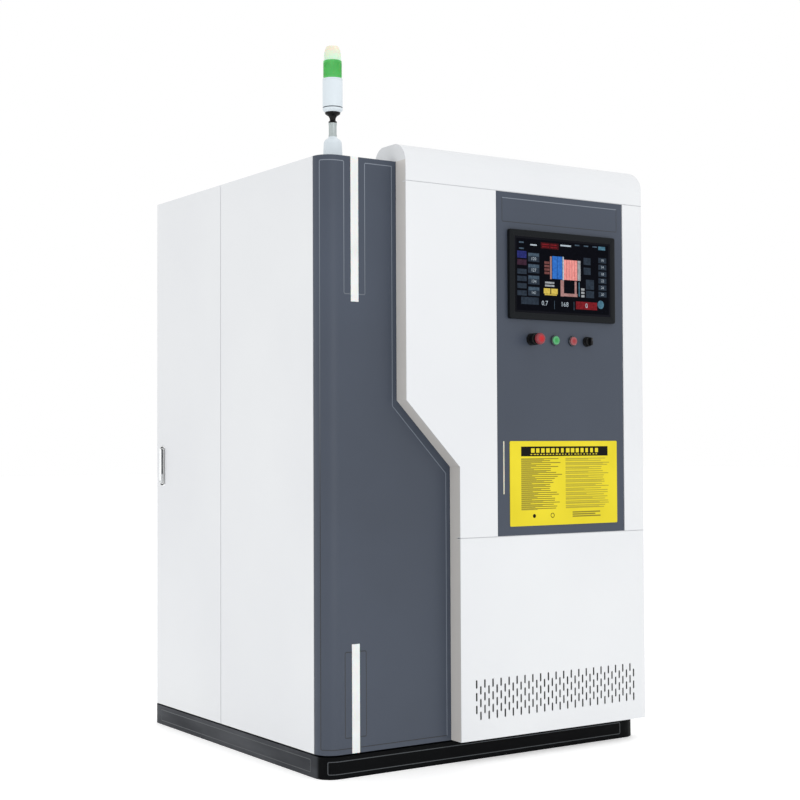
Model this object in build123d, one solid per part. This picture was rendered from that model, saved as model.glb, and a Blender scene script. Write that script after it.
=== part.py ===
"""Cabinet steam boiler: an insulated vertical vessel in a sheet-steel cabinet on a black plinth.

The front carries a raised white cover with a stepped left edge, a bullnosed hood, a dark control
panel and an air inlet of staggered slots. A side door opens to the vessel and its burner.
Millimetres, +Z up, the front faces -Y, and the origin is the centre of the plinth's footprint.
"""

import os
from typing import NamedTuple

from build123d import *

# Sheet metal
sheet = 2.0
seam = 2.0
seat_fit = 0.3
panel_return = 34.0
door_return = 20.0
corner_radius = 52.0

# Front layout, from the cabinet's left edge
column_width = 246.0
left_bay_width = 325.0
screen_left_margin = 42.0
screen_width = 418.0
screen_right_margin = 40.0
right_bay_width = 94.0
control_width = screen_left_margin + screen_width + screen_right_margin
body_width = column_width + left_bay_width + control_width + right_bay_width

# Side layout, from the front
side_panel_depth = 619.0
door_gap = 8.0
door_depth = 508.0
body_depth = side_panel_depth + door_gap + door_depth

# Height layout, from the floor
plinth_height = 62.0
panel_lift = 5.0
lower_cover_height = 591.0
notice_margin = 28.0
notice_height = 255.0
blank_height = 307.0
operator_to_screen = 60.0
screen_height = 269.0
screen_top_margin = 112.0
hood_apron = 61.0
hood_rise = 52.0
panel_bottom = plinth_height + panel_lift
lower_seam_z = panel_bottom + lower_cover_height
notice_bottom = lower_seam_z + notice_margin
notice_top = notice_bottom + notice_height
operator_z = notice_top + blank_height
screen_bottom = operator_z + operator_to_screen
upper_seam_z = screen_bottom + screen_height + screen_top_margin
body_top = upper_seam_z + hood_apron
hood_top = body_top + hood_rise

left = -body_width / 2
right = body_width / 2
front = -body_depth / 2
back = body_depth / 2

# Plinth and floor
channel_wall = 5.0
channel_flange = 90.0
beam_width = 60.0
beam_spread = 460.0
floor_sheet = 3.0
floor_top = plinth_height + floor_sheet

# Frame of square tube
tube = 40.0
tube_wall = 3.0
roof_drop = 22.0
frame_top = body_top - roof_drop
ring_bottom = frame_top - tube
roof_clearance = 6.0

# Side door and the seams around it
wrap = 62.0
rear_gap = 8.0
corner_seam = 54.0
door_seam_y = front + side_panel_depth
door_start = door_seam_y + door_gap
rebate_clearance = 6.0
stiffener_width = 60.0
stiffener_depth = 16.0
stiffener_end = 40.0
stiffener_spacing = 740.0

# Hinges: pins on the frame, leaves on the door
hinge_depth = 10.0
hinge_offset = 24.0
hinge_from_end = 200.0
knuckle_diameter = 12.0
knuckle_height = 24.0
knuckle_gap = 0.5
pin_diameter = 6.0
pin_fit = 0.05
pin_length = 20.0
arm_plate = 6.0
arm_half_width = 3.0
arm_reach = 12.0
leaf_plate = 3.0
leaf_length = 40.0
notch_height = 70.0
notch_depth = 8.0

# Door handle
handle_from_back = 88.0
handle_z = 798.0
handle_width = 27.0
handle_height = 132.0
handle_plate = 3.5
handle_corner = 6.0
handle_chamfer = 1.0
handle_rim = 6.0
handle_body_depth = 16.0
lever_width = 12.0
lever_length = 116.0
lever_thickness = 7.0
lever_chamfer = 1.5
lever_end_radius = 5.5
lever_gap = 1.0
lever_pivot_up = 14.0
spindle_diameter = 9.0
spindle_length = 8.0
spindle_fit = 0.4

# Raised front cover
cover_proud = 51.0
cover_return = 16.0
cover_wrap = 52.0
cover_edge_radius = 22.0
cover_face = front - cover_proud
step_run = 187.0
step_up = 208.0
step_rise = 193.0
column_reach = 39.0
trim = 2.0
rail_width = 40.0
upper_edge_x = left + column_width
lower_edge_x = upper_edge_x + step_run
corner_end_x = lower_edge_x + column_reach

# Hood
hood_depth = 162.0
hood_front_radius = 61.0
hood_rear_lip = 6.0

# Air inlet
slot_width = 6.0
slot_length = 27.0
slot_pitch_x = 15.0
slot_pitch_z = 37.0
slot_rows = 3
slot_left_margin = 56.0
slot_right_margin = 60.0
slot_up = 57.0

# Control panel
control_left = upper_edge_x + left_bay_width
control_right = control_left + control_width
control_recess = 1.5
control_face = cover_face + control_recess
notice_left_margin = 46.0
notice_right_margin = 30.0
notice_thickness = 1.5
notice_corner = 4.0
line_from_left = 24.0
line_width = 5.0
line_up = 97.0
line_proud = 0.5
line_lip = 4.0

# Touch screen
screen_proud = 12.0
screen_corner = 6.0
screen_chamfer = 3.0
screen_body_margin = 14.0
screen_body_depth = 34.0
screen_fit = 1.0
bezel_side = 20.0
bezel_end = 20.0
glass_thickness = 3.0
glass_recess = 1.2

# Operators, from the control panel's left edge
emergency_from_left = 131.0
start_from_left = 222.0
stop_from_left = 292.0
selector_from_left = 350.0
barrel_diameter = 22.0
barrel_length = 24.0
barrel_end_wall = 4.0
barrel_fit = 0.25
collar_diameter = 36.0
collar_height = 30.0
collar_chamfer = 3.0
stem_diameter = 14.0
stem_fit = 0.4
mushroom_back_diameter = 31.0
mushroom_diameter = 35.0
mushroom_shoulder_diameter = 32.0
mushroom_face_diameter = 25.0
mushroom_back_height = 3.0
mushroom_rim_height = 6.0
mushroom_shoulder_height = 4.0
mushroom_face_height = 2.0
emergency_travel = 5.0
bezel_diameter = 31.0
bezel_height = 7.0
bezel_chamfer = 2.0
cap_diameter = 26.0
cap_height = 11.0
cap_chamfer = 1.5
cap_stem_diameter = 16.6
cap_fit = 0.5
button_travel = 4.0
travel_clearance = 1.0
knob_diameter = 29.0
knob_disc = 10.0
knob_height = 20.0
knob_grip = 9.0
knob_grip_corner = 3.0
knob_chamfer = 2.0
knob_gap = 0.5

# Light strips in the corner panel
strip_from_left = 91.0
strip_width = 26.0
strip_upper_length = 413.0
strip_lower_length = 305.0
strip_proud = 1.0
strip_lip = 5.0
strip_lip_thickness = 2.0

# Signal light on the roof
light_x = left + 82.0
light_y = front + 80.0
light_foot_diameter = 60.0
light_neck_diameter = 52.0
light_shoulder_diameter = 44.0
light_foot_height = 52.0
light_shoulder_height = 6.0
light_slope_height = 9.0
light_pole_diameter = 24.0
light_pole_length = 40.0
light_socket_height = 5.0
light_waist_diameter = 17.0
light_waist_step = 1.5
light_waist_height = 7.5
light_cone_diameter = 44.0
light_cone_height = 12.0
light_cone_rim = 5.0
light_body_diameter = 58.0
light_body_edge = 6.5
light_ring_height = 5.0
light_groove = 1.5
light_body_height = 82.0
light_lens_diameter = 54.0
light_lens_height = 51.5
light_cap_diameter = 49.0
light_cap_shoulder_diameter = 42.0
light_cap_top_diameter = 36.0
light_cap_wall_height = 23.0
light_cap_shoulder_height = 13.0
light_cap_crown_height = 7.0

# Vessel and burner
vessel_diameter = 600.0
vessel_y = 20.0
vessel_chamfer = 24.0
skirt_inset = 40.0
skirt_height = 100.0
band_width = 30.0
band_thickness = 2.0
band_count = 3
burner_diameter = 280.0
burner_height = 190.0
burner_chamfer = 20.0
burner_neck_diameter = 200.0
burner_neck_height = 30.0
burner_clearance = 48.0
burner_top = ring_bottom - burner_clearance
vessel_bottom = floor_top + skirt_height
vessel_top = burner_top - burner_height - burner_neck_height

# Flue and pipe connections at the back
flue_diameter = 200.0
flue_wall = 2.0
flue_below_top = 240.0
flue_proud = 90.0
rosette_width = 22.0
rosette_thickness = 2.0
pipe_side = 190.0
pipe_proud = 70.0
pipe_fit = 0.3
steam_below_top = 90.0
gas_above_top = 120.0
feedwater_up = 165.0
blowdown_up = 85.0
bolt_count = 4


class PipeSize(NamedTuple):
    """A steel pipe and the flange that closes it."""

    outer: float
    bore: float
    flange: float
    flange_thickness: float
    bolt_circle: float
    bolt_hole: float


size_40 = PipeSize(
    outer=48.3, bore=43.1, flange=150.0, flange_thickness=18.0, bolt_circle=110.0, bolt_hole=18.0
)
size_25 = PipeSize(
    outer=33.7, bore=28.5, flange=115.0, flange_thickness=16.0, bolt_circle=85.0, bolt_hole=14.0
)
flue_z = vessel_top - flue_below_top
steam_spot = (pipe_side, vessel_top - steam_below_top)
gas_spot = (0.0, vessel_top + gas_above_top)
feedwater_spot = (pipe_side, vessel_bottom + feedwater_up)
blowdown_spot = (-pipe_side, vessel_bottom + blowdown_up)
pipes = (
    (steam_spot, size_40),
    (gas_spot, size_40),
    (feedwater_spot, size_25),
    (blowdown_spot, size_25),
)

# Cutters overshoot the faces they open by this much
overcut = 1.0

corner_low = (Align.MIN, Align.MIN, Align.MIN)
axis_low = (Align.CENTER, Align.CENTER, Align.MIN)
parts = {}


def block(x0, x1, y0, y1, z0, z1):
    """A box between two corners."""
    return Pos(x0, y0, z0) * Box(x1 - x0, y1 - y0, z1 - z0, align=corner_low)


def tray(x0, x1, y0, y1, z0, z1, open_side):
    """A folded sheet tray: a box hollowed to the sheet and open on one side, such as "+Y"."""
    low = [x0 + sheet, y0 + sheet, z0 + sheet]
    high = [x1 - sheet, y1 - sheet, z1 - sheet]
    axis = "XYZ".index(open_side[1])
    if open_side[0] == "+":
        high[axis] += sheet + overcut
    else:
        low[axis] -= sheet + overcut
    hollow = block(low[0], high[0], low[1], high[1], low[2], high[2])
    return block(x0, x1, y0, y1, z0, z1) - hollow


def upright(diameter, z0, z1, x, y):
    """A vertical cylinder between two heights."""
    return Pos(x, y, z0) * Cylinder(diameter / 2, z1 - z0, align=axis_low)


def rod(diameter, y0, y1, x, z):
    """A cylinder along +Y between two depths."""
    return Pos(x, y0, z) * Rot(-90, 0, 0) * Cylinder(diameter / 2, y1 - y0, align=axis_low)


def turned(profile):
    """A solid of revolution about +Z from pairs of radius and height."""
    return revolve(Plane.XZ * make_face(Polyline(*profile, close=True)), Axis.Z)


def stacked(start_diameter, *steps):
    """A profile from the axis outwards and up, from pairs of a rise and the diameter it ends at."""
    profile = [(0, 0), (start_diameter / 2, 0)]
    height = 0
    for rise, diameter in steps:
        height += rise
        profile.append((diameter / 2, height))
    return [*profile, (0, height)], height


def slab(inset, z0, z1):
    """The cabinet's rounded plan, inset all round, between two heights."""
    plan = RectangleRounded(body_width - 2 * inset, body_depth - 2 * inset, corner_radius - inset)
    return Pos(0, 0, z0) * extrude(plan, z1 - z0)


def folded_panel(depth, x0, x1, y0, y1):
    """A sheet panel on the cabinet's outline, with returns of the given depth all round."""
    skin = slab(0, panel_bottom, body_top)
    skin -= block(
        left + depth, right - depth, front + depth, back - depth, panel_bottom, body_top
    )
    skin &= block(x0, x1, y0, y1, panel_bottom, body_top)
    inside = slab(sheet, panel_bottom + sheet, body_top - sheet)
    inside &= block(
        x0 + sheet, x1 - sheet, y0 + sheet, y1 - sheet, panel_bottom, body_top
    )
    return skin - inside


def front_plate(x0, x1, z0, z1, radius, y0, y1):
    """A plate that faces the front, with rounded corners, between two depths."""
    outline = Pos((x0 + x1) / 2, (z0 + z1) / 2) * RectangleRounded(x1 - x0, z1 - z0, radius)
    return Pos(0, y1, 0) * extrude(Plane.XZ * outline, y1 - y0)


def front_prism(points, y0, y1):
    """A prism over an outline in X and Z, between two depths."""
    return Pos(0, y1, 0) * extrude(Plane.XZ * make_face(Polyline(*points, close=True)), y1 - y0)


# Plinth: a ring of channel and three beams that carry the vessel
def make_plinth():
    ring = slab(0, 0, plinth_height)
    ring -= slab(channel_wall, channel_wall, plinth_height - channel_wall)
    low_x, high_x = left + channel_flange, right - channel_flange
    low_y, high_y = front + channel_flange, back - channel_flange
    ring -= block(low_x, high_x, low_y, high_y, 0, plinth_height)
    half, half_web = beam_width / 2, channel_wall / 2
    beams = block(-half, half, low_y, high_y, 0, plinth_height)
    webs = block(-half_web, half_web, low_y, high_y, 0, plinth_height)
    for y in (vessel_y - beam_spread / 2, vessel_y + beam_spread / 2):
        beams += block(low_x, high_x, y - half, y + half, 0, plinth_height)
        webs += block(low_x, high_x, y - half_web, y + half_web, 0, plinth_height)
    beams -= block(low_x, high_x, low_y, high_y, channel_wall, plinth_height - channel_wall)
    parts["plinth"] = ring + beams + webs
    parts["floor_plate"] = block(
        left + panel_return, right - panel_return, front + panel_return, back - panel_return,
        plinth_height, floor_top,
    )


# Frame: upright posts on the floor plate, and a ring of the same tube on them
def make_frame():
    low_x, high_x = left + panel_return, right - panel_return
    low_y, high_y = front + panel_return, back - panel_return
    rear_inset = wrap + rear_gap
    spots = (
        (low_x, low_y),
        (corner_end_x - tube / 2, low_y),
        (high_x - tube, low_y),
        (low_x, door_seam_y + seam - tube),
        (high_x - tube, door_seam_y - tube / 2),
        (left + rear_inset, high_y - tube),
        (right - rear_inset - tube, high_y - tube),
    )
    posts = []
    for x, y in spots:
        post = block(x, x + tube, y, y + tube, floor_top, ring_bottom)
        post -= block(
            x + tube_wall, x + tube - tube_wall, y + tube_wall, y + tube - tube_wall,
            floor_top, ring_bottom,
        )
        posts.append(post)
    parts["frame_posts"] = Compound(children=posts)

    ring = block(low_x, high_x, low_y, high_y, ring_bottom, frame_top)
    hollow = block(
        low_x + tube_wall, high_x - tube_wall, low_y + tube_wall, high_y - tube_wall,
        ring_bottom + tube_wall, frame_top - tube_wall,
    )
    inner = tube - tube_wall
    hollow -= block(
        low_x + inner, high_x - inner, low_y + inner, high_y - inner, ring_bottom, frame_top
    )
    opening = block(
        low_x + tube, high_x - tube, low_y + tube, high_y - tube, ring_bottom, frame_top
    )
    parts["top_frame"] = ring - hollow - opening


# Fixed panels of the cabinet
def make_side_panels():
    panel_start = front + corner_seam + seam
    parts["left_front_panel"] = folded_panel(
        panel_return, left, left + panel_return, panel_start, door_seam_y
    )
    parts["right_front_panel"] = folded_panel(
        panel_return, right - panel_return, right, panel_start, door_seam_y
    )
    parts["right_rear_panel"] = folded_panel(
        panel_return, right - wrap, right, door_start, back
    )


def make_corner_panel():
    panel = folded_panel(panel_return, left, corner_end_x - seam / 2, front, front + corner_seam)
    x0 = left + strip_from_left
    for z0, z1 in strip_spans():
        panel -= block(x0, x0 + strip_width, front - overcut, front + sheet, z0, z1)
    parts["corner_panel"] = panel


def make_inner_wall():
    parts["front_inner_wall"] = tray(
        corner_end_x + seam / 2, right - panel_return, front, front + panel_return,
        panel_bottom, body_top, "+Y",
    )


def make_back_panel():
    inset = wrap + rear_gap
    panel = tray(
        left + inset, right - inset, back - panel_return, back, panel_bottom, body_top, "-Y"
    )
    panel -= rod(flue_diameter + 2 * pipe_fit, back - panel_return, back + overcut, 0, flue_z)
    for (x, z), size in pipes:
        panel -= rod(size.outer + 2 * pipe_fit, back - panel_return, back + overcut, x, z)
    parts["back_panel"] = panel


def make_roof():
    inset = panel_return + roof_clearance
    panel = tray(
        left + inset, right - inset, front + inset, back - inset, frame_top, body_top, "-Z"
    )
    swing = hinge_offset * 2 + rebate_clearance
    panel += block(
        left + sheet + rebate_clearance, left + inset + sheet, door_seam_y + swing,
        back - corner_radius, frame_top, frame_top + sheet,
    )
    parts["roof_panel"] = panel


# Light strips: lenses set in the corner panel, each with a lip behind the sheet
def strip_spans():
    """The heights between which each light strip runs."""
    return (
        (panel_bottom, panel_bottom + strip_lower_length),
        (body_top - strip_upper_length, body_top),
    )


def make_light_strips():
    x0 = left + strip_from_left
    x1 = x0 + strip_width
    lip_y = front + sheet
    strips = []
    for z0, z1 in strip_spans():
        lens = block(
            x0 + seat_fit, x1 - seat_fit, front - strip_proud, lip_y, z0 + seat_fit, z1 - seat_fit
        )
        low = max(z0, panel_bottom + sheet) + seat_fit
        high = min(z1, body_top - sheet) - seat_fit
        lip = block(x0 - strip_lip, x1 + strip_lip, lip_y, lip_y + strip_lip_thickness, low, high)
        strips.append(lens + lip)
    parts["light_strips"] = Compound(children=strips)


# Raised cover: a left piece with the stepped edge, a right piece and a lower piece
def stepped_edge(shift, z0, z1):
    """The stepped left edge from the top down, moved to the right by the shift."""
    return [
        (upper_edge_x + shift, z1),
        (upper_edge_x + shift, lower_seam_z + step_up + step_rise),
        (lower_edge_x + shift, lower_seam_z + step_up),
        (lower_edge_x + shift, z0),
    ]


def make_cover_left():
    low, high = lower_seam_z + seam / 2, upper_seam_z - seam / 2
    end = control_left - seam / 2
    plate = front_prism(
        [*stepped_edge(0, low, high), (end, low), (end, high)],
        cover_face, cover_face + cover_return,
    )
    low, high, end = low + sheet, high - sheet, end - sheet
    hollow = front_prism(
        [*stepped_edge(-overcut, low, high), (end, low), (end, high)],
        cover_face + sheet, cover_face + cover_return,
    )
    parts["cover_left"] = plate - hollow


def wrapped_sheet(x0, z0, z1, open_left):
    """A sheet that faces the front and turns round the cover's right edge, with its returns."""
    def body(inset, start):
        solid = block(
            start, right - inset, cover_face + inset, front + cover_wrap - inset,
            z0 + inset, z1 - inset,
        )
        edge = solid.edges().filter_by(Axis.Z).sort_by(Axis.Y)[:2].sort_by(Axis.X)[-1]
        return fillet(edge, cover_edge_radius - inset)

    inside_start = x0 - overcut if open_left else x0 + sheet
    behind = block(
        x0 - overcut, right - cover_return, cover_face + cover_return,
        front + cover_wrap + overcut, z0 - overcut, z1 + overcut,
    )
    return body(0, x0) - body(sheet, inside_start) - behind


def make_cover_right():
    parts["cover_right"] = wrapped_sheet(
        control_right + seam / 2, lower_seam_z + seam / 2, upper_seam_z - seam / 2, False
    )


def slot_outline(x, z):
    """An upright slot with tapered ends, centred on a point."""
    half_width = slot_width / 2
    half_length = slot_length / 2
    shoulder = half_length - half_width
    return [
        (x - half_width, z - shoulder), (x, z - half_length), (x + half_width, z - shoulder),
        (x + half_width, z + shoulder), (x, z + half_length), (x - half_width, z + shoulder),
    ]


def make_cover_lower():
    cover = wrapped_sheet(lower_edge_x, panel_bottom, lower_seam_z - seam / 2, True)
    first_x = lower_edge_x + slot_left_margin
    field = right - slot_right_margin - first_x
    slots = []
    for column in range(int(field / slot_pitch_x) + 1):
        lift = slot_pitch_z / 2 if column % 2 == 0 else 0.0
        for row in range(slot_rows):
            z = panel_bottom + slot_up + slot_length / 2 + lift + row * slot_pitch_z
            outline = slot_outline(first_x + column * slot_pitch_x, z)
            slots.append(front_prism(outline, cover_face - overcut, cover_face + sheet + overcut))
    parts["cover_lower"] = cover - slots


# Trim strip that closes the stepped edge between the cover and the corner panel
def make_cover_trim():
    low, high = panel_bottom, body_top
    outline = stepped_edge(0, low, high) + stepped_edge(trim, low, high)[::-1]
    strip = front_prism(outline, cover_face + sheet, front)
    for z0, z1 in (
        (low - overcut, low + sheet),
        (lower_seam_z - seam / 2 - sheet, lower_seam_z + seam / 2 + sheet),
        (upper_seam_z - seam / 2 - sheet, upper_seam_z - seam / 2),
    ):
        strip -= block(
            upper_edge_x - overcut, lower_edge_x + trim + overcut,
            cover_face + sheet, cover_face + cover_return, z0, z1,
        )
    parts["cover_edge_trim"] = strip


def make_cover_rails():
    rails = []
    for x in (control_left, control_right):
        rails.append(
            block(
                x - rail_width / 2, x + rail_width / 2, cover_face + cover_return, front,
                panel_bottom + sheet, upper_seam_z,
            )
        )
    parts["cover_rails"] = Compound(children=rails)


# Hood: a bullnosed shell on the roof, open over the frame
def hood_form(inset):
    """The hood's outside, or the same form inset by the sheet."""
    y0, y1 = cover_face + inset, cover_face + hood_depth - inset
    z1 = hood_top - inset
    front_radius = hood_front_radius - inset
    rear_radius = hood_rise - hood_rear_lip - inset
    low = upper_seam_z + seam / 2
    foot = front + cover_wrap
    outline = (
        Line((y0, low), (y0, z1 - front_radius))
        + RadiusArc((y0, z1 - front_radius), (y0 + front_radius, z1), front_radius)
        + Line((y0 + front_radius, z1), (y1 - rear_radius, z1))
        + RadiusArc((y1 - rear_radius, z1), (y1, z1 - rear_radius), rear_radius)
        + Line((y1, z1 - rear_radius), (y1, body_top))
        + Line((y1, body_top), (foot, body_top))
        + Line((foot, body_top), (foot, low))
        + Line((foot, low), (y0, low))
    )
    x0, x1 = upper_edge_x + inset, right - inset
    form = Pos(x0, 0, 0) * extrude(Plane.YZ * make_face(outline), x1 - x0)
    rounded = [
        edge
        for edge in form.edges().group_by(Axis.X)[-1]
        if edge.center().Z > body_top + inset or edge.center().Y < y0 + sheet
    ]
    return fillet(rounded, cover_edge_radius - inset)


def make_hood():
    seat = block(
        upper_edge_x - overcut, right - cover_return, front, front + cover_wrap + overcut,
        panel_bottom, body_top,
    )
    edge_strip = block(
        upper_edge_x - overcut, upper_edge_x + trim, cover_face + sheet, front,
        upper_seam_z, body_top,
    )
    parts["hood"] = hood_form(0) - hood_form(sheet) - seat - edge_strip


# Control panel with the cut-outs for what it carries
def make_control_panel():
    x0, x1 = control_left + seam / 2, control_right - seam / 2
    panel = tray(
        x0, x1, control_face, cover_face + cover_return,
        lower_seam_z + seam / 2, upper_seam_z - seam / 2, "+Y",
    )
    margin = screen_body_margin - screen_fit
    cut_start, cut_end = control_face - overcut, control_face + sheet
    screen_x = control_left + screen_left_margin
    panel -= block(
        screen_x + margin, screen_x + screen_width - margin, cut_start, cut_end,
        screen_bottom + margin, screen_bottom + screen_height - margin,
    )
    for offset in (emergency_from_left, start_from_left, stop_from_left, selector_from_left):
        hole = barrel_diameter + 2 * barrel_fit
        panel -= rod(hole, cut_start, cut_end, control_left + offset, operator_z)
    x, z0, z1 = light_line_spot()
    panel -= block(x - line_width / 2, x + line_width / 2, cut_start, cut_end, z0, z1)
    parts["control_panel"] = panel


def make_screen():
    x0 = control_left + screen_left_margin
    x1 = x0 + screen_width
    z0, z1 = screen_bottom, screen_bottom + screen_height
    face = control_face - screen_proud
    frame = front_plate(x0, x1, z0, z1, screen_corner, face, control_face)
    frame = chamfer(frame.faces().sort_by(Axis.Y)[0].edges(), screen_chamfer)
    margin = screen_body_margin
    body = block(
        x0 + margin, x1 - margin, control_face, control_face + screen_body_depth,
        z0 + margin, z1 - margin,
    )
    glass_face = face + glass_recess
    seat = (x0 + bezel_side, x1 - bezel_side, z0 + bezel_end, z1 - bezel_end)
    hollow = block(
        seat[0], seat[1], face - overcut, glass_face + glass_thickness, seat[2], seat[3]
    )
    parts["screen_housing"] = frame + body - hollow
    parts["screen_glass"] = block(
        seat[0], seat[1], glass_face, glass_face + glass_thickness, seat[2], seat[3]
    )


# Operators under the screen: a body fixed in the panel and a piece that moves
def operator_body(offset, diameter, height, edge, bore, bore_end):
    """A collar on the panel with a barrel behind it, bored for the moving piece."""
    x = control_left + offset
    face = control_face - height
    body = rod(diameter, face, control_face, x, operator_z)
    body = chamfer(body.faces().sort_by(Axis.Y)[0].edges(), edge)
    body += rod(barrel_diameter, control_face, control_face + barrel_length, x, operator_z)
    return body - rod(bore, face - overcut, bore_end, x, operator_z)


def make_emergency_stop():
    bore_end = control_face + barrel_length - barrel_end_wall
    parts["emergency_stop_collar"] = operator_body(
        emergency_from_left, collar_diameter, collar_height, collar_chamfer,
        stem_diameter + 2 * stem_fit, bore_end,
    )
    profile, _ = stacked(
        mushroom_back_diameter,
        (mushroom_back_height, mushroom_diameter),
        (mushroom_rim_height, mushroom_diameter),
        (mushroom_shoulder_height, mushroom_shoulder_diameter),
        (mushroom_face_height, mushroom_face_diameter),
    )
    head_back = control_face - collar_height - emergency_travel - travel_clearance
    x = control_left + emergency_from_left
    head = Pos(x, head_back, operator_z) * Rot(90, 0, 0) * turned(profile)
    parts["emergency_stop_head"] = head + rod(stem_diameter, head_back, control_face, x, operator_z)


def make_push_buttons():
    bezels = []
    for name, offset in (("start_button", start_from_left), ("stop_button", stop_from_left)):
        x = control_left + offset
        bore_end = control_face + barrel_length - barrel_end_wall
        bezel = operator_body(
            offset, bezel_diameter, bezel_height, bezel_chamfer,
            cap_stem_diameter + 2 * cap_fit, bore_end,
        )
        recess_end = control_face - travel_clearance
        bezel -= rod(
            cap_diameter + 2 * cap_fit, control_face - bezel_height - overcut, recess_end,
            x, operator_z,
        )
        bezels.append(bezel)
        cap_back = recess_end - cap_fit - button_travel
        cap = rod(cap_diameter, control_face - cap_height, cap_back, x, operator_z)
        cap = chamfer(cap.faces().sort_by(Axis.Y)[0].edges(), cap_chamfer)
        stem_end = bore_end - button_travel - barrel_end_wall
        parts[name] = cap + rod(cap_stem_diameter, cap_back, stem_end, x, operator_z)
    parts["button_bezels"] = Compound(children=bezels)


def make_selector():
    bore_end = control_face + barrel_length - barrel_end_wall
    parts["selector_bezel"] = operator_body(
        selector_from_left, bezel_diameter, bezel_height, bezel_chamfer,
        stem_diameter + 2 * stem_fit, bore_end,
    )
    x = control_left + selector_from_left
    knob_back = control_face - bezel_height - knob_gap
    disc = rod(knob_diameter, knob_back - knob_disc, knob_back, x, operator_z)
    disc = chamfer(disc.faces().sort_by(Axis.Y)[0].edges(), knob_chamfer)
    half_length = knob_diameter / 2 - knob_chamfer
    grip = front_plate(
        x - knob_grip / 2, x + knob_grip / 2, operator_z - half_length, operator_z + half_length,
        knob_grip_corner, knob_back - knob_height, knob_back,
    )
    stem = rod(stem_diameter, knob_back, control_face, x, operator_z)
    parts["selector_knob"] = disc + grip + stem


# Notice plate and the slim light line beside it
def light_line_spot():
    """The middle of the light line, and the heights between which it runs."""
    low = notice_bottom + line_up
    return control_left + line_from_left, low, notice_top


def make_notice():
    parts["notice_plate"] = front_plate(
        control_left + notice_left_margin, control_right - notice_right_margin,
        notice_bottom, notice_top, notice_corner, control_face - notice_thickness, control_face,
    )


def make_light_line():
    x, z0, z1 = light_line_spot()
    half = line_width / 2
    lip_y = control_face + sheet
    lens = block(
        x - half + seat_fit, x + half - seat_fit, control_face - line_proud, lip_y,
        z0 + seat_fit, z1 - seat_fit,
    )
    lip = block(
        x - half - line_lip, x + half + line_lip, lip_y, lip_y + sheet,
        z0 - line_lip, z1 + line_lip,
    )
    parts["light_line"] = lens + lip


# Side door: a folded pan that wraps the rear corner, with stiffeners across its inside
def hinge_heights():
    """The heights of the three hinges."""
    low = panel_bottom + hinge_from_end
    high = body_top - hinge_from_end
    return low, (low + high) / 2, high


def make_side_door():
    pan = folded_panel(door_return, left, left + wrap, door_start, back)
    for z in hinge_heights():
        pan -= block(
            left + sheet, left + panel_return, door_start - overcut, door_start + notch_depth,
            z - notch_height / 2, z + notch_height / 2,
        )
    y = back - handle_from_back
    half = handle_width / 2 - handle_rim / 2
    pan -= block(
        left - overcut, left + sheet, y - half, y + half,
        handle_z + handle_rim, handle_z + handle_height - handle_rim,
    )
    parts["side_door"] = pan

    ribs = []
    middle = (panel_bottom + body_top) / 2
    for z in (middle - stiffener_spacing / 2, middle + stiffener_spacing / 2):
        rib = block(
            left + sheet, left + sheet + stiffener_depth, door_start + stiffener_end,
            back - wrap, z - stiffener_width / 2, z + stiffener_width / 2,
        )
        rib -= block(
            left + sheet, left + stiffener_depth, door_start + stiffener_end - overcut,
            back - wrap + overcut, z - stiffener_width / 2 + sheet, z + stiffener_width / 2 - sheet,
        )
        ribs.append(rib)
    parts["door_stiffeners"] = Compound(children=ribs)


def make_hinges():
    x, y = left + hinge_depth, door_seam_y + hinge_offset
    post_x = left + panel_return
    arm_end_y = y + 2 * arm_half_width
    arms, leaves = [], []
    for z in hinge_heights():
        arm = block(
            x, post_x + arm_reach, y - arm_half_width, arm_end_y, z - arm_plate, z
        )
        arm += block(
            post_x, post_x + arm_reach, door_seam_y + seam, arm_end_y, z - arm_plate, z
        )
        arm += upright(knuckle_diameter, z - knuckle_height, z, x, y)
        arm += upright(pin_diameter, z, z + pin_length, x, y)
        arms.append(arm)
        low = z + knuckle_gap
        leaf = upright(knuckle_diameter, low, low + knuckle_height, x, y)
        leaf += block(
            left + sheet, left + sheet + leaf_plate, y - arm_half_width, y + leaf_length,
            low, low + knuckle_height,
        )
        leaf -= upright(pin_diameter + 2 * pin_fit, low - overcut, low + pin_length, x, y)
        leaves.append(leaf)
    parts["hinge_arms"] = Compound(children=arms)
    parts["hinge_leaves"] = Compound(children=leaves)


# Swing handle: a plate with its lock body in the door, and a lever that turns on a spindle
def make_handle():
    y = back - handle_from_back
    half = handle_width / 2
    z1 = handle_z + handle_height
    face = left - handle_plate
    plate = block(face, left, y - half, y + half, handle_z, z1)
    plate = fillet(plate.edges().filter_by(Axis.X), handle_corner)
    plate = chamfer(plate.faces().sort_by(Axis.X)[0].edges(), handle_chamfer)
    inner = half - handle_rim / 2 - seat_fit
    plate += block(
        left, left + handle_body_depth, y - inner, y + inner,
        handle_z + handle_rim + seat_fit, z1 - handle_rim - seat_fit,
    )
    pivot_z = handle_z + lever_pivot_up
    across = Rot(0, 90, 0)
    bore = Cylinder(spindle_diameter / 2 + spindle_fit, spindle_length + spindle_fit, align=axis_low)
    parts["handle_plate"] = plate - Pos(face, y, pivot_z) * across * bore
    lever_face = face - lever_gap
    lever_half = lever_width / 2
    lever = block(
        lever_face - lever_thickness, lever_face, y - lever_half, y + lever_half,
        pivot_z - lever_half, pivot_z - lever_half + lever_length,
    )
    lever = fillet(lever.edges().filter_by(Axis.X), lever_end_radius)
    lever = chamfer(lever.faces().sort_by(Axis.X)[0].edges(), lever_chamfer)
    spindle = Cylinder(spindle_diameter / 2, spindle_length, align=axis_low)
    parts["handle_lever"] = lever + Pos(lever_face, y, pivot_z) * across * spindle


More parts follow.
